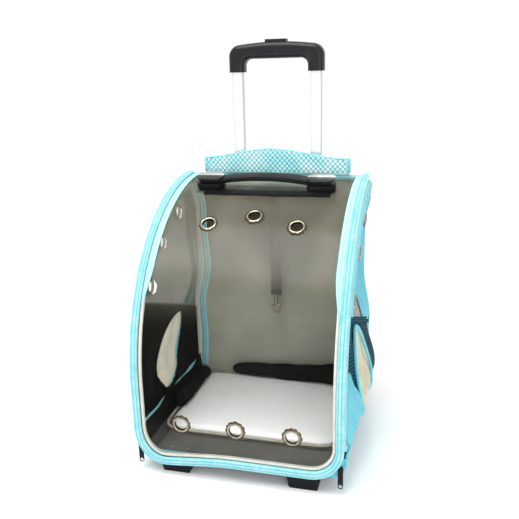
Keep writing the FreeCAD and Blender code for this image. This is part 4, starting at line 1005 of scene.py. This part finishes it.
def buildDoorEdges(side, label, body):
    edge = doorRun(side, doorLine(*doorEdges["binding"]), doorOff["binding"])
    binding = sweep(label + "DoorBinding", edge, doorBars["binding"], tip=0.004)
    line = [(y, seamHeight(y)) for y in spread(seamFrontY, bag["rear"] - 0.002, 40)]
    seam = sweep(label + "DoorSeam", doorRun(side, line, doorOff["seam"]), doorBars["seam"])
    finished(binding, body, ["binding"], "cyan_binding", label + "_door_binding")
    finished(seam, body, ["knit"], "navy_mesh")
    line = [(y, z) for y, z in doorLine(*doorEdges["tape"]) if z > door["tapeFoot"]]
    x = side * (bag["doorX"] + doorOff["tape"])
    inner = [(Vector((x, y, z)), Vector((-side, 0, 0))) for y, z in line]
    strip = sweep(label + "DoorSeamTape", inner, doorBars["tape"])
    finished(strip, body, ["seamTape"], "cyan_binding")
    line = [(y, z) for y, z in doorLine(*doorEdges["border"]) if z > door["seamFront"] - 0.004]
    border = sweep(label + "DoorBorder", doorRun(side, line, doorOff["border"]), doorBars["border"])
    finished(border, body, ["deepBinding"], "cyan_binding")
    setEyelets(label + "DoorEyelets", eyeletModel, doorPlaces(side), body, label + "_door_grommets",
               "doorNickel")


# Cyan cloth along the hinge, gathered into two long folds
hingeStrip = {"wide": 0.095, "low": 0.182, "high": 0.404, "fold": 0.0042,
              "taper": 0.72, "thick": 0.0010}


def buildHingeStrip(side, label, body):
    def at(u, v):
        u = fromFront(side, u)
        z = hingeStrip["low"] + (hingeStrip["high"] - hingeStrip["low"]) * v
        wide = hingeStrip["wide"] * (1 - hingeStrip["taper"] * v ** 0.6) + 0.006 * math.sin(z * 24)
        y = bag["rear"] - wide * (1 - u)
        z = max(z, seamHeight(y) + 0.002)
        pleat = (0.5 + 0.5 * math.sin(4 * math.pi * u + z * 14)) * hingeStrip["fold"]
        return doorSpot(side, y, z, 0.0016 + pleat * ease(u / 0.12) * ease((1 - u) / 0.12))

    cloth = skin(label + "HingeStrip", 36, 60, at, (hingeStrip["wide"], 0.22))
    thickened(cloth, hingeStrip["thick"], angle=50)
    finished(cloth, hingeBlend(side, body), ["cyanCloth"], "cyan_cloth")
    label + "_door_window"


# Cyan bellows in the lower front corner of each door
gusset = {"tall": 0.125, "deep": 0.100, "folds": 3.0, "fold": 0.0060, "thick": 0.0012}


def buildGusset(side, label, body):
    def at(u, v):
        u = fromFront(side, u)
        wide = gusset["deep"] * (1 - v) ** 0.85 + 0.006
        y = doorFront + wide * u
        z = max(bag["doorLow"] - 0.003 + gusset["tall"] * v, doorFloor(y))
        pleat = abs(math.sin(math.pi * gusset["folds"] * u + 0.4)) * gusset["fold"] * (1 - v * 0.6)
        return doorSpot(side, y, z, 0.0022 + pleat * ease(u / 0.15) * ease((1 - u) / 0.1))

    cloth = skin(label + "Gusset", 60, 36, at, (gusset["deep"], gusset["tall"]))
    finished(thickened(cloth, gusset["thick"], angle=50), body, ["cyanCloth"], "cyan_cloth")
    label + "_door_mesh"


for side, label in ((-1, "left"), (1, "right")):
    for build in (buildWindow, buildKnit, buildLeaf, buildDoorEdges, buildGusset, buildHingeStrip):
        build(side, label, label + "_door")
bpy.data.objects.remove(eyeletModel)

# Piping down the rear corners
rearPiping = {"x": 0.1655, "y": 0.11625, "low": 0.0623, "high": 0.426, "thick": 0.0090}
piping = []
for side in (-1, 1):
    line = [(Vector((side * (rearPiping["x"] - waist(z)), rearPiping["y"], z)), Vector((0, 1, 0)))
            for z in spread(rearPiping["low"], rearPiping["high"], 60)]
    piping.append(sweep("rearPiping", line, oval(rearPiping["thick"])))
finished(joined("rearPiping", piping), "bag", ["binding"], "cyan_binding", "rear_piping")
print("doors done")


# Base: a soft tray with rounded lower edges
base = {"half": 0.1690, "corner": 0.030, "top": 0.062, "low": 0.0262, "front": -0.1684, "back": 0.1172,
        "thick": 0.0026, "pull": 0.0009, "dip": 0.0370, "dipHalf": 0.126, "rise": 0.0250,
        "riseRun": 0.036, "frontThick": 0.0012}


def buildBase():
    corner = base["corner"]
    flank = base["top"] - base["low"] - corner
    bend = math.pi / 2 * corner
    flat = base["half"] - corner
    whole = 2 * (flank + bend + flat)

    def at(u, v):
        # the section is worked out from the middle of the floor to one top edge
        y = base["front"] + (base["back"] - base["front"]) * v
        side = 1 if u > 0.5 else -1
        run = abs(u - 0.5) * whole
        angle = min(max(run - flat, 0.0), bend) / corner
        x = side * (min(run, flat) + corner * math.sin(angle))
        z = base["low"] + corner - corner * math.cos(angle) + max(run - flat - bend, 0.0)
        pull = base["pull"] * math.sin(y * 70 + x * 9)
        pull *= ease(abs(x) / 0.14) * ease((z - base["low"]) / 0.02)
        return Vector((x + math.copysign(pull, x), y, z))

    tray = skin("baseTray", 96, 60, at, (whole, base["back"] - base["front"]))
    turnFaces(tray)
    twoSided(tray, base["thick"], "trayCloth", "lining")
    finished(smooth(tray, 50), "bag", ["trayCloth", "lining"], "cyan_cloth", "base_shell")


buildBase()


# Cyan end panel that closes the front of the tray, low in the middle
def buildBaseFront():
    def at(u, v):
        x = (2 * u - 1) * (base["half"] - 0.0006)
        over = max(abs(x) - (base["half"] - base["corner"]), 0.0)
        low = base["low"] + base["corner"] - math.sqrt(max(base["corner"] ** 2 - over ** 2, 0.0))
        top = base["dip"] + base["rise"] * ease((abs(x) - base["dipHalf"]) / base["riseRun"])
        low += 0.0006
        return Vector((x, base["front"] + 0.0003, low + max(top - low, 0.0) * v))

    panel = skin("baseFront", 90, 6, at, (2 * base["half"], 0.03))
    finished(thickened(panel, base["frontThick"]), "bag", ["cyanCloth"], "cyan_cloth")


buildBaseFront()


# Dark sill cloth standing inside the base, under each door
sill = {"x": 0.1588, "low": 0.040, "high": 0.0790, "front": -0.152, "back": 0.112, "thick": 0.0009}


def buildSills():
    size = (sill["back"] - sill["front"], sill["high"] - sill["low"])
    for side, label in ((-1, "left"), (1, "right")):
        def at(u, v):
            y = sill["front"] + size[0] * fromFront(side, u)
            z = sill["low"] + size[1] * v
            lean = 0.004 * (1 - v) ** 2 + 0.0016 * math.sin(y * 80 + v * 3) * v
            return Vector((side * (sill["x"] - lean), y, z - 0.004 * v * (1 + math.sin(y * 37))))

        cloth = skin(label + "Sill", 80, 10, at, size)
        finished(thickened(cloth, sill["thick"]), "bag", ["blackCloth"], "dark_cloth")


buildSills()


# Back wall lining in the cabin, with painted shade darkening it towards the top, and taped corners
# top is painted shade, blended in over the given heights above the lower colours
wall = {"half": 0.1605, "low": 0.036, "off": 0.0012, "weave": 0.0012, "topShadeZ": (0.16, 0.36),
        "light": shade(196, 199, 182), "dark": shade(166, 169, 153), "top": shade(86, 82, 68),
        "thick": 0.0008, "soft": 0.0016, "tapeLow": 0.052, "tapeHigh": 0.418}
# tapes in the corners: distance from the middle, distance from the board, section, finish
wallTapes = {"cornerBand": (0.1492, 0.0042, bar(0.0125, 0.0016, 0.0007, 2), "binding"),
             "cornerTape": (0.1602, 0.0046, bar(0.0082, 0.0016, 0.0007, 2), "seamTape")}


def wallCloth():
    kit = Finish("wallLining", Sheen_Weight=0.2, Specular_IOR_Level=0.2)
    spot = kit.where()
    x, y, z = kit.axes(spot)
    weave = waves(x, wall["weave"]) * waves(z, wall["weave"])
    patches = kit.noise(spot, 16.0, 4.0)
    low = kit.blend((patches * 0.8 + weave * 0.1 + 0.1).rise(0.1, 0.9), wall["dark"], wall["light"])
    # painted shade: the lining darkens towards the top
    kit.feed(Base_Color=kit.blend(z.rise(*wall["topShadeZ"]), low, wall["top"]),
             Roughness=patches * 0.1 + 0.82)
    return kit.bump(weave * 0.4 + patches * 2.0, 0.0006)


def buildWall():
    finishes["wall"] = wallCloth()

    def at(u, v):
        z = wall["low"] + (bag["wallTop"] - 0.002 - wall["low"]) * v
        x = (wall["half"] - waist(z)) * (2 * u - 1)
        soft = wall["soft"] * (1 - (2 * u - 1) ** 2)
        soft *= math.sin(x * 40 + z * 12) * math.sin(z * 26) + 1
        return Vector((x, bag["wall"] - wall["off"] - soft, z))

    sheet = skin("wallLining", 60, 80, at, (2 * wall["half"], 0.39))
    finished(thickened(sheet, wall["thick"], -1.0), "bag", ["wall"], "dark_cloth")
    2 * wall["half"]
    bag["wallTop"] - wall["low"]
    for side in (-1, 1):
        for name, (start, off, section, look) in wallTapes.items():
            path = []
            for z in spread(wall["tapeLow"], wall["tapeHigh"], 60):
                x = start - waist(z) + 0.0018 * math.sin(z * 42) + 0.0012 * math.sin(z * 17 + 1)
                path.append((Vector((side * x, bag["wall"] - off, z)), Vector((0, -1, 0))))
            finished(sweep(name, path, section), "bag", [look], "cyan_binding")


buildWall()
print("base and wall done")


# Floor mat with piped edges
mat = {"piping": 0.0046, "pipingDrop": 0.0062, "pipingAt": 0.995, "square": 9.0, "drawnX": 0.012,
       "drawnY": 0.016, "inset": 0.985, "crown": 0.28, "swell": 0.0012, "pressure": 2.5, "cap": 0.003,
       "voxel": 0.004}


def buildMat():
    low, high = corners("floor_mat")
    middle = (low + high) / 2
    halfX, halfY = (high.x - low.x) / 2, (high.y - low.y) / 2

    def rim(angle):
        # rounded rectangle, drawn in a little between its corners
        x, y = squarish(angle, mat["square"])
        return (halfX * x * (1 - mat["drawnX"] * (1 - y ** 2)),
                halfY * y * (1 - mat["drawnY"] * (1 - x ** 2)))

    def at(u, v):
        x, y = rim(2 * math.pi * u)
        ring = math.sin(math.pi * v)
        share = ring ** 0.35
        lift = math.cos(math.pi * v)
        thick = (high.z - low.z) / 2 - mat["swell"]
        up = thick * math.copysign(abs(lift) ** 0.55, lift) * (1 - mat["crown"] * share ** 6)
        share *= mat["inset"]
        return Vector((middle.x + x * share, middle.y + y * share, middle.z - up))

    pad = skin("floorMat", 120, 44, at, closed=True)
    plump(pad, mat["pressure"], mat["cap"], mat["voxel"])
    for vert in pad.data.vertices:
        vert.co.z = max(vert.co.z, low.z)
    finished(smooth(pad, 70), "bag", ["mat"], "mat_plush", "floor_mat")
    edge = []
    for i in range(121):
        x, y = rim(2 * math.pi * i / 120)
        x, y = middle.x + x * mat["pipingAt"], middle.y + y * mat["pipingAt"]
        edge.append((Vector((x, y, high.z - mat["pipingDrop"])), Vector((0, 0, 1))))
    piping = sweep("matPiping", edge, oval(mat["piping"], 10), ring=True)
    finished(piping, "bag", ["matEdge"], "mat_plush")


buildMat()


# Black lining rolled up along the back and the left side: start, end and the radius at each
rollPlaces = {"rearRoll": ((-0.090, 0.0985, 0.0600), (0.138, 0.0930, 0.0690), 0.0105, 0.0205),
              "sideRoll": ((-0.140, -0.05675, 0.0600), (-0.136, 0.08325, 0.0600), 0.0125, 0.0118)}


def buildRolls():
    rolls = []
    for name, (start, end, first, last) in rollPlaces.items():
        start = Vector(start)
        run = Vector(end) - start
        side = run.cross(Vector((0, 0, 1))).normalized()

        def at(u, v):
            angle = 2 * math.pi * u
            size = first + (last - first) * v
            creases = 0.07 * math.sin(3 * angle + 9 * v) + 0.05 * math.sin(2 * angle - 17 * v)
            size *= 1 + creases + 0.03 * math.sin(31 * v)
            size *= math.sqrt(max(1 - (2 * v - 1) ** 14, 0.0)) * 0.93
            up = Vector((0, 0, size * math.sin(angle)))
            return start + run * v + side * size * math.cos(angle) + up

        rolls.append(skin(name, 40, 70, at, (0.1, run.length), closed=True))
    finished(smooth(joined("liningRolls", rolls), 60), "bag", ["blackCloth"], "dark_cloth",
             "lining_rolls")


buildRolls()


# Tether strap sewn to its anchor patch
def buildTether():
    low, high = corners("tether_strap")
    path = []
    for z in spread(high.z, low.z, 60):
        y = (low.y + high.y) / 2 - 0.0007 + 0.0010 * math.sin(z * 44)
        path.append((Vector((0.0012 * math.sin(z * 30), y, z)), Vector((0, -1, 0))))
    strip = sweep("tetherStrap", path, bar(high.x - low.x, 0.0018, 0.0008, 2))
    fold = [(point + Vector((0, 0.0001, 0)), out) for point, out in path[-5:]]
    loop = sweep("tetherFold", fold, bar(high.x - low.x + 0.0006, 0.0050, 0.0022))
    finished(joined("tetherStrap", [strip, loop]), "bag", ["webbing"], "webbing", "tether_strap")
    patch = fitted("tether_anchor", "tetherAnchor", 0.0022, 3)
    finished(patch, "bag", ["lining"], "dark_cloth", "tether_anchor")


buildTether()
print("cabin done")


# Padded flap in front of the trolley, higher in the middle, with a bound edge
flap = {"peak": 0.016, "peakX": -0.008, "fill": 0.7}


def buildFlap():
    low, high = corners("trolley_flap")
    half = (high.x - low.x) / 2
    y = (low.y + high.y) / 2

    def top(x):
        return high.z - flap["peak"] * ease(abs(x - flap["peakX"]) / half)

    def at(u, v):
        angle = 2 * math.pi * u
        x = (2 * v - 1) * half
        ends = max(1 - (2 * v - 1) ** 10, 0.0) ** 0.5
        mid = (low.z + top(x)) / 2
        tall = (top(x) - low.z) / 2
        c, s = math.cos(angle), math.sin(angle)
        deep = (high.y - low.y) / 2 * (0.55 + 0.45 * ends) * (1 + 0.06 * math.sin(x * 90) * s * s)
        out = deep * math.copysign(abs(c) ** 0.7, c) * (0.15 + 0.85 * ends)
        up = tall * math.copysign(abs(s) ** 0.55, s) * (0.2 + 0.8 * ends)
        return Vector((x * (0.99 + 0.01 * ends), y + out, mid + up))

    pad = skin("trolleyFlap", 36, 90, at, closed=True)
    finished(smooth(pad, 70), "flap", ["net"], "flap_net", "trolley_flap")
    for name, height in (("flapTopBinding", lambda x: top(x) - 0.0012),
                         ("flapFootBinding", lambda x: low.z + 0.002)):
        line = [(Vector((x, y, height(x))), Vector((0, 0, 1)))
                for x in spread(-half * 0.985, half * 0.985, 60)]
        strip = sweep(name, line, bar(0.0060, 0.0030, 0.0014))
        finished(strip, "flap", ["binding"], "cyan_binding")
    for side in (-1, 1):
        x = side * half * 0.982
        line = [(Vector((x, y, z)), Vector((side, 0, 0)))
                for z in spread(low.z + 0.004, top(x) - 0.002, 10)]
        strip = sweep("flapSideBinding", line, bar(0.0080, 0.0056, 0.0026))
        finished(strip, "flap", ["binding"], "cyan_binding")


buildFlap()


# Back pad with sewn channels and a bound edge
backPad = {"seamX": (-0.098, -0.046, 0.046, 0.098), "depthX": 0.5, "wideX": 0.0055,
           "seamZ": (0.178, 0.262, 0.346), "depthZ": 0.35, "wideZ": 0.0050, "round": 0.022,
           "seat": 0.0025, "below": 0.0010, "thick": 0.0022, "square": 12, "bindingAt": 0.995,
           "bindingOff": 0.0035, "binding": bar(0.0080, 0.0060, 0.0026)}


def groove(spot, axis):
    # what the sewn lines across an axis leave of the pad's height
    lines = [math.exp(-((spot - line) / backPad["wide" + axis]) ** 2) for line in backPad["seam" + axis]]
    return 1 - backPad["depth" + axis] * sum(lines)


def buildBackPad():
    low, high = corners("back_pad")
    half = (high.x - low.x) / 2
    tall = high.z - low.z

    def at(u, v):
        x = (2 * u - 1) * half
        z = low.z + tall * v
        edge = 1.0
        for gap in (half - abs(x), z - low.z, high.z - z):
            edge *= ease(gap / backPad["round"])
        loft = high.y - low.y - backPad["seat"] - backPad["below"]
        loft *= edge ** 0.5 * groove(x, "X") * groove(z, "Z")
        return Vector((x, low.y + backPad["seat"] + loft, z))

    front = skin("backPad", 110, 110, at, (2 * half, tall))
    turnFaces(front)
    thickened(front, backPad["thick"], -1.0)
    finished(front, "bag", ["padMesh"], "pad_mesh", "back_pad")
    rim = []
    for i in range(121):
        x, z = squarish(2 * math.pi * i / 120, backPad["square"])
        x *= half * backPad["bindingAt"]
        z = (low.z + high.z) / 2 + z * tall / 2 * backPad["bindingAt"]
        rim.append((Vector((x, low.y + backPad["bindingOff"], z)), Vector((0, 1, 0))))
    strip = sweep("backPadBinding", rim, backPad["binding"], ring=True)
    finished(strip, "bag", ["binding"], "cyan_binding")


buildBackPad()


# Shoulder straps and their webbing
webbing = {"x": 0.062, "section": bar(0.025, 0.0018, 0.0008, 2)}


def buildStraps():
    for label in ("left", "right"):
        strap = fitted(label + "_shoulder_strap", label + "ShoulderStrap", 0.0045, 3, 25)
        finished(strap, "bag", ["padMesh"], "pad_mesh", label + "_shoulder_strap")
    webs = []
    low, high = corners("strap_webbing")
    for side in (-1, 1):
        y = (low.y + high.y) / 2
        path = [(Vector((side * webbing["x"], y, z)), Vector((0, 1, 0)))
                for z in spread(low.z, high.z, 24)]
        webs.append(sweep("strapWebbing", path, webbing["section"]))
    finished(joined("strapWebbing", webs), "bag", ["strapWebbing"], "webbing", "strap_webbing")


buildStraps()
print("back done")


# Rigid pieces keep their CAD form or a softened copy of it: body, width of the bevel, finish, slot
softened = {"carry_grip": ("carry_handle", 0.0016, "plastic", "black_plastic"),
            "handle_mounts": ("bag", 0.0016, "plastic", "black_plastic"),
            "handle_caps": ("carry_handle", 0.0010, "silver", "cap_silver"),
            "front_feet": ("bag", 0.0012, "plastic", "black_plastic"),
            "top_bracket": ("bag", 0.0012, "plastic", "black_plastic"),
            "bottom_bracket": ("bag", 0.0012, "plastic", "black_plastic"),
            "ladder_locks": ("bag", 0.0007, "plastic", "black_plastic"),
            "zip_sliders": ("bag", 0.0005, "plastic", "black_plastic"),
            "left_zip_pull": ("left_pull", 0.0003, "plastic", "black_plastic"),
            "right_zip_pull": ("right_pull", 0.0003, "plastic", "black_plastic")}
for node, (body, width, look, slot) in softened.items():
    finished(fitted(node, node.replace("_", "-"), width), body, [look], slot, node)

plain = {"grip_front": "gripPlastic", "grip_rear": "gripPlastic", "release_button": "gripPlastic",
         "handle_plate": "plastic", "inner_tubes": "innerTube", "middle_tubes": "tube",
         "outer_tubes": "tube", "grip_screws": "darkScrew", "frame_screws": "steel",
         "release_rods": "steel", "left_lock_pin": "steel", "right_lock_pin": "steel",
         "wheel_axles": "steel", "lock_blocks": "nylon", "hook_body": "hook", "hook_gate": "hook",
         "wheel_housings": "plastic", "left_tyre": "tyre", "right_tyre": "tyre",
         "left_hub": "hub", "right_hub": "hub", "base_board": "floorCloth", "back_board": "board"}
for node, look in plain.items():
    nodes[node].data.materials.clear()
    nodes[node].data.materials.append(finishes[look])
print("rigid pieces dressed")


# Studio: pale floor, soft lamps and the camera of the photograph
studio = {"eye": (0.279, -1.024, 0.618), "yaw": 15.4, "pitch": 16.1, "roll": -1.4, "film": 36,
          "lens": 662 / 519 * 36, "sky": 0.82, "floor": (0.94, 0.94, 0.94, 1), "glow": (0.04, 0.24),
          "glowReach": (0.4, 2.4), "white": (1, 1, 1, 1), "aim": (0, 0, 0.25), "lampSize": 1.4}
lamps = {"keyLamp": ((-0.3, -0.7, 2.3), 40), "fillLamp": ((1.2, -1.9, 1.0), 12),
         "backLamp": ((0.5, 1.8, 2.2), 8)}


def pale(kit):
    # 1 for rays that show the background itself
    rays = [kit.node("ShaderNodeLightPath", out=name)
            for name in ("Is Camera Ray", "Is Glossy Ray", "Is Transmission Ray")]
    return rays[0].most(rays[1]).most(rays[2])


def buildSky():
    world = bpy.data.worlds.new("studio")
    bpy.context.scene.world = world
    world.use_nodes = True
    kit = Kit(world.node_tree)
    sky = kit.tree.nodes["Background"]
    kit.join(sky.inputs["Color"], studio["white"])
    kit.join(sky.inputs["Strength"], kit.node("ShaderNodeMapRange", None, {
        "Value": pale(kit), "To Min": studio["sky"], "To Max": 1.0}))


def buildFloor():
    # pale and matt, with a glow far from the object that only the background's rays see
    bpy.ops.object.select_all(action="DESELECT")
    bpy.ops.mesh.primitive_plane_add(size=60, location=(0, 0, 0))
    floor = bpy.context.object
    floor.name = "studioFloor"
    look = bpy.data.materials.new("paleFloor")
    look.use_nodes = True
    kit = Kit(look.node_tree)
    kit.tree.nodes.remove(kit.tree.nodes["Principled BSDF"])
    reach = kit.node("ShaderNodeVectorMath", {"operation": "LENGTH"}, {0: kit.where()}, "Value")
    far = kit.node("ShaderNodeMapRange", None, {
        "Value": reach, "From Min": studio["glowReach"][0], "From Max": studio["glowReach"][1],
        "To Min": studio["glow"][0], "To Max": studio["glow"][1]})
    matt = kit.node("ShaderNodeBsdfDiffuse", None, {"Color": studio["floor"]})
    glow = kit.node("ShaderNodeEmission", None, {"Color": studio["white"], "Strength": pale(kit) * far})
    both = kit.node("ShaderNodeAddShader", None, {0: matt, 1: glow})
    kit.join(kit.tree.nodes["Material Output"].inputs["Surface"], both)
    floor.data.materials.append(look)


def buildLamps():
    for name, (spot, power) in lamps.items():
        lamp = bpy.data.lights.new(name, "AREA")
        lamp.size = studio["lampSize"]
        lamp.energy = power
        obj = bpy.data.objects.new(name, lamp)
        bpy.context.collection.objects.link(obj)
        obj.location = spot
        aim = Vector(studio["aim"]) - Vector(spot)
        obj.rotation_euler = aim.to_track_quat("-Z", "Y").to_euler()


def buildCamera():
    yaw, pitch, roll = [math.radians(studio[key]) for key in ("yaw", "pitch", "roll")]
    level = Vector((math.cos(yaw), math.sin(yaw), 0))
    ahead = Vector((-math.sin(yaw), math.cos(yaw), 0)) * math.cos(pitch)
    ahead.z = -math.sin(pitch)
    plumb = level.cross(ahead)
    right = level * math.cos(roll) + plumb * math.sin(roll)
    up = plumb * math.cos(roll) - level * math.sin(roll)
    camera = bpy.data.objects.new("photoCamera", bpy.data.cameras.new("photoCamera"))
    bpy.context.collection.objects.link(camera)
    camera.data.sensor_fit = "HORIZONTAL"
    camera.data.sensor_width = studio["film"]
    camera.data.lens = studio["lens"]
    turn = Matrix((right, up, -ahead)).transposed().to_4x4()
    camera.matrix_world = Matrix.Translation(studio["eye"]) @ turn
    bpy.context.scene.camera = camera
    bpy.context.scene.view_settings.view_transform = "Standard"


buildSky()
buildFloor()
buildLamps()
buildCamera()
bpy.context.view_layer.update()
print("scene ready")
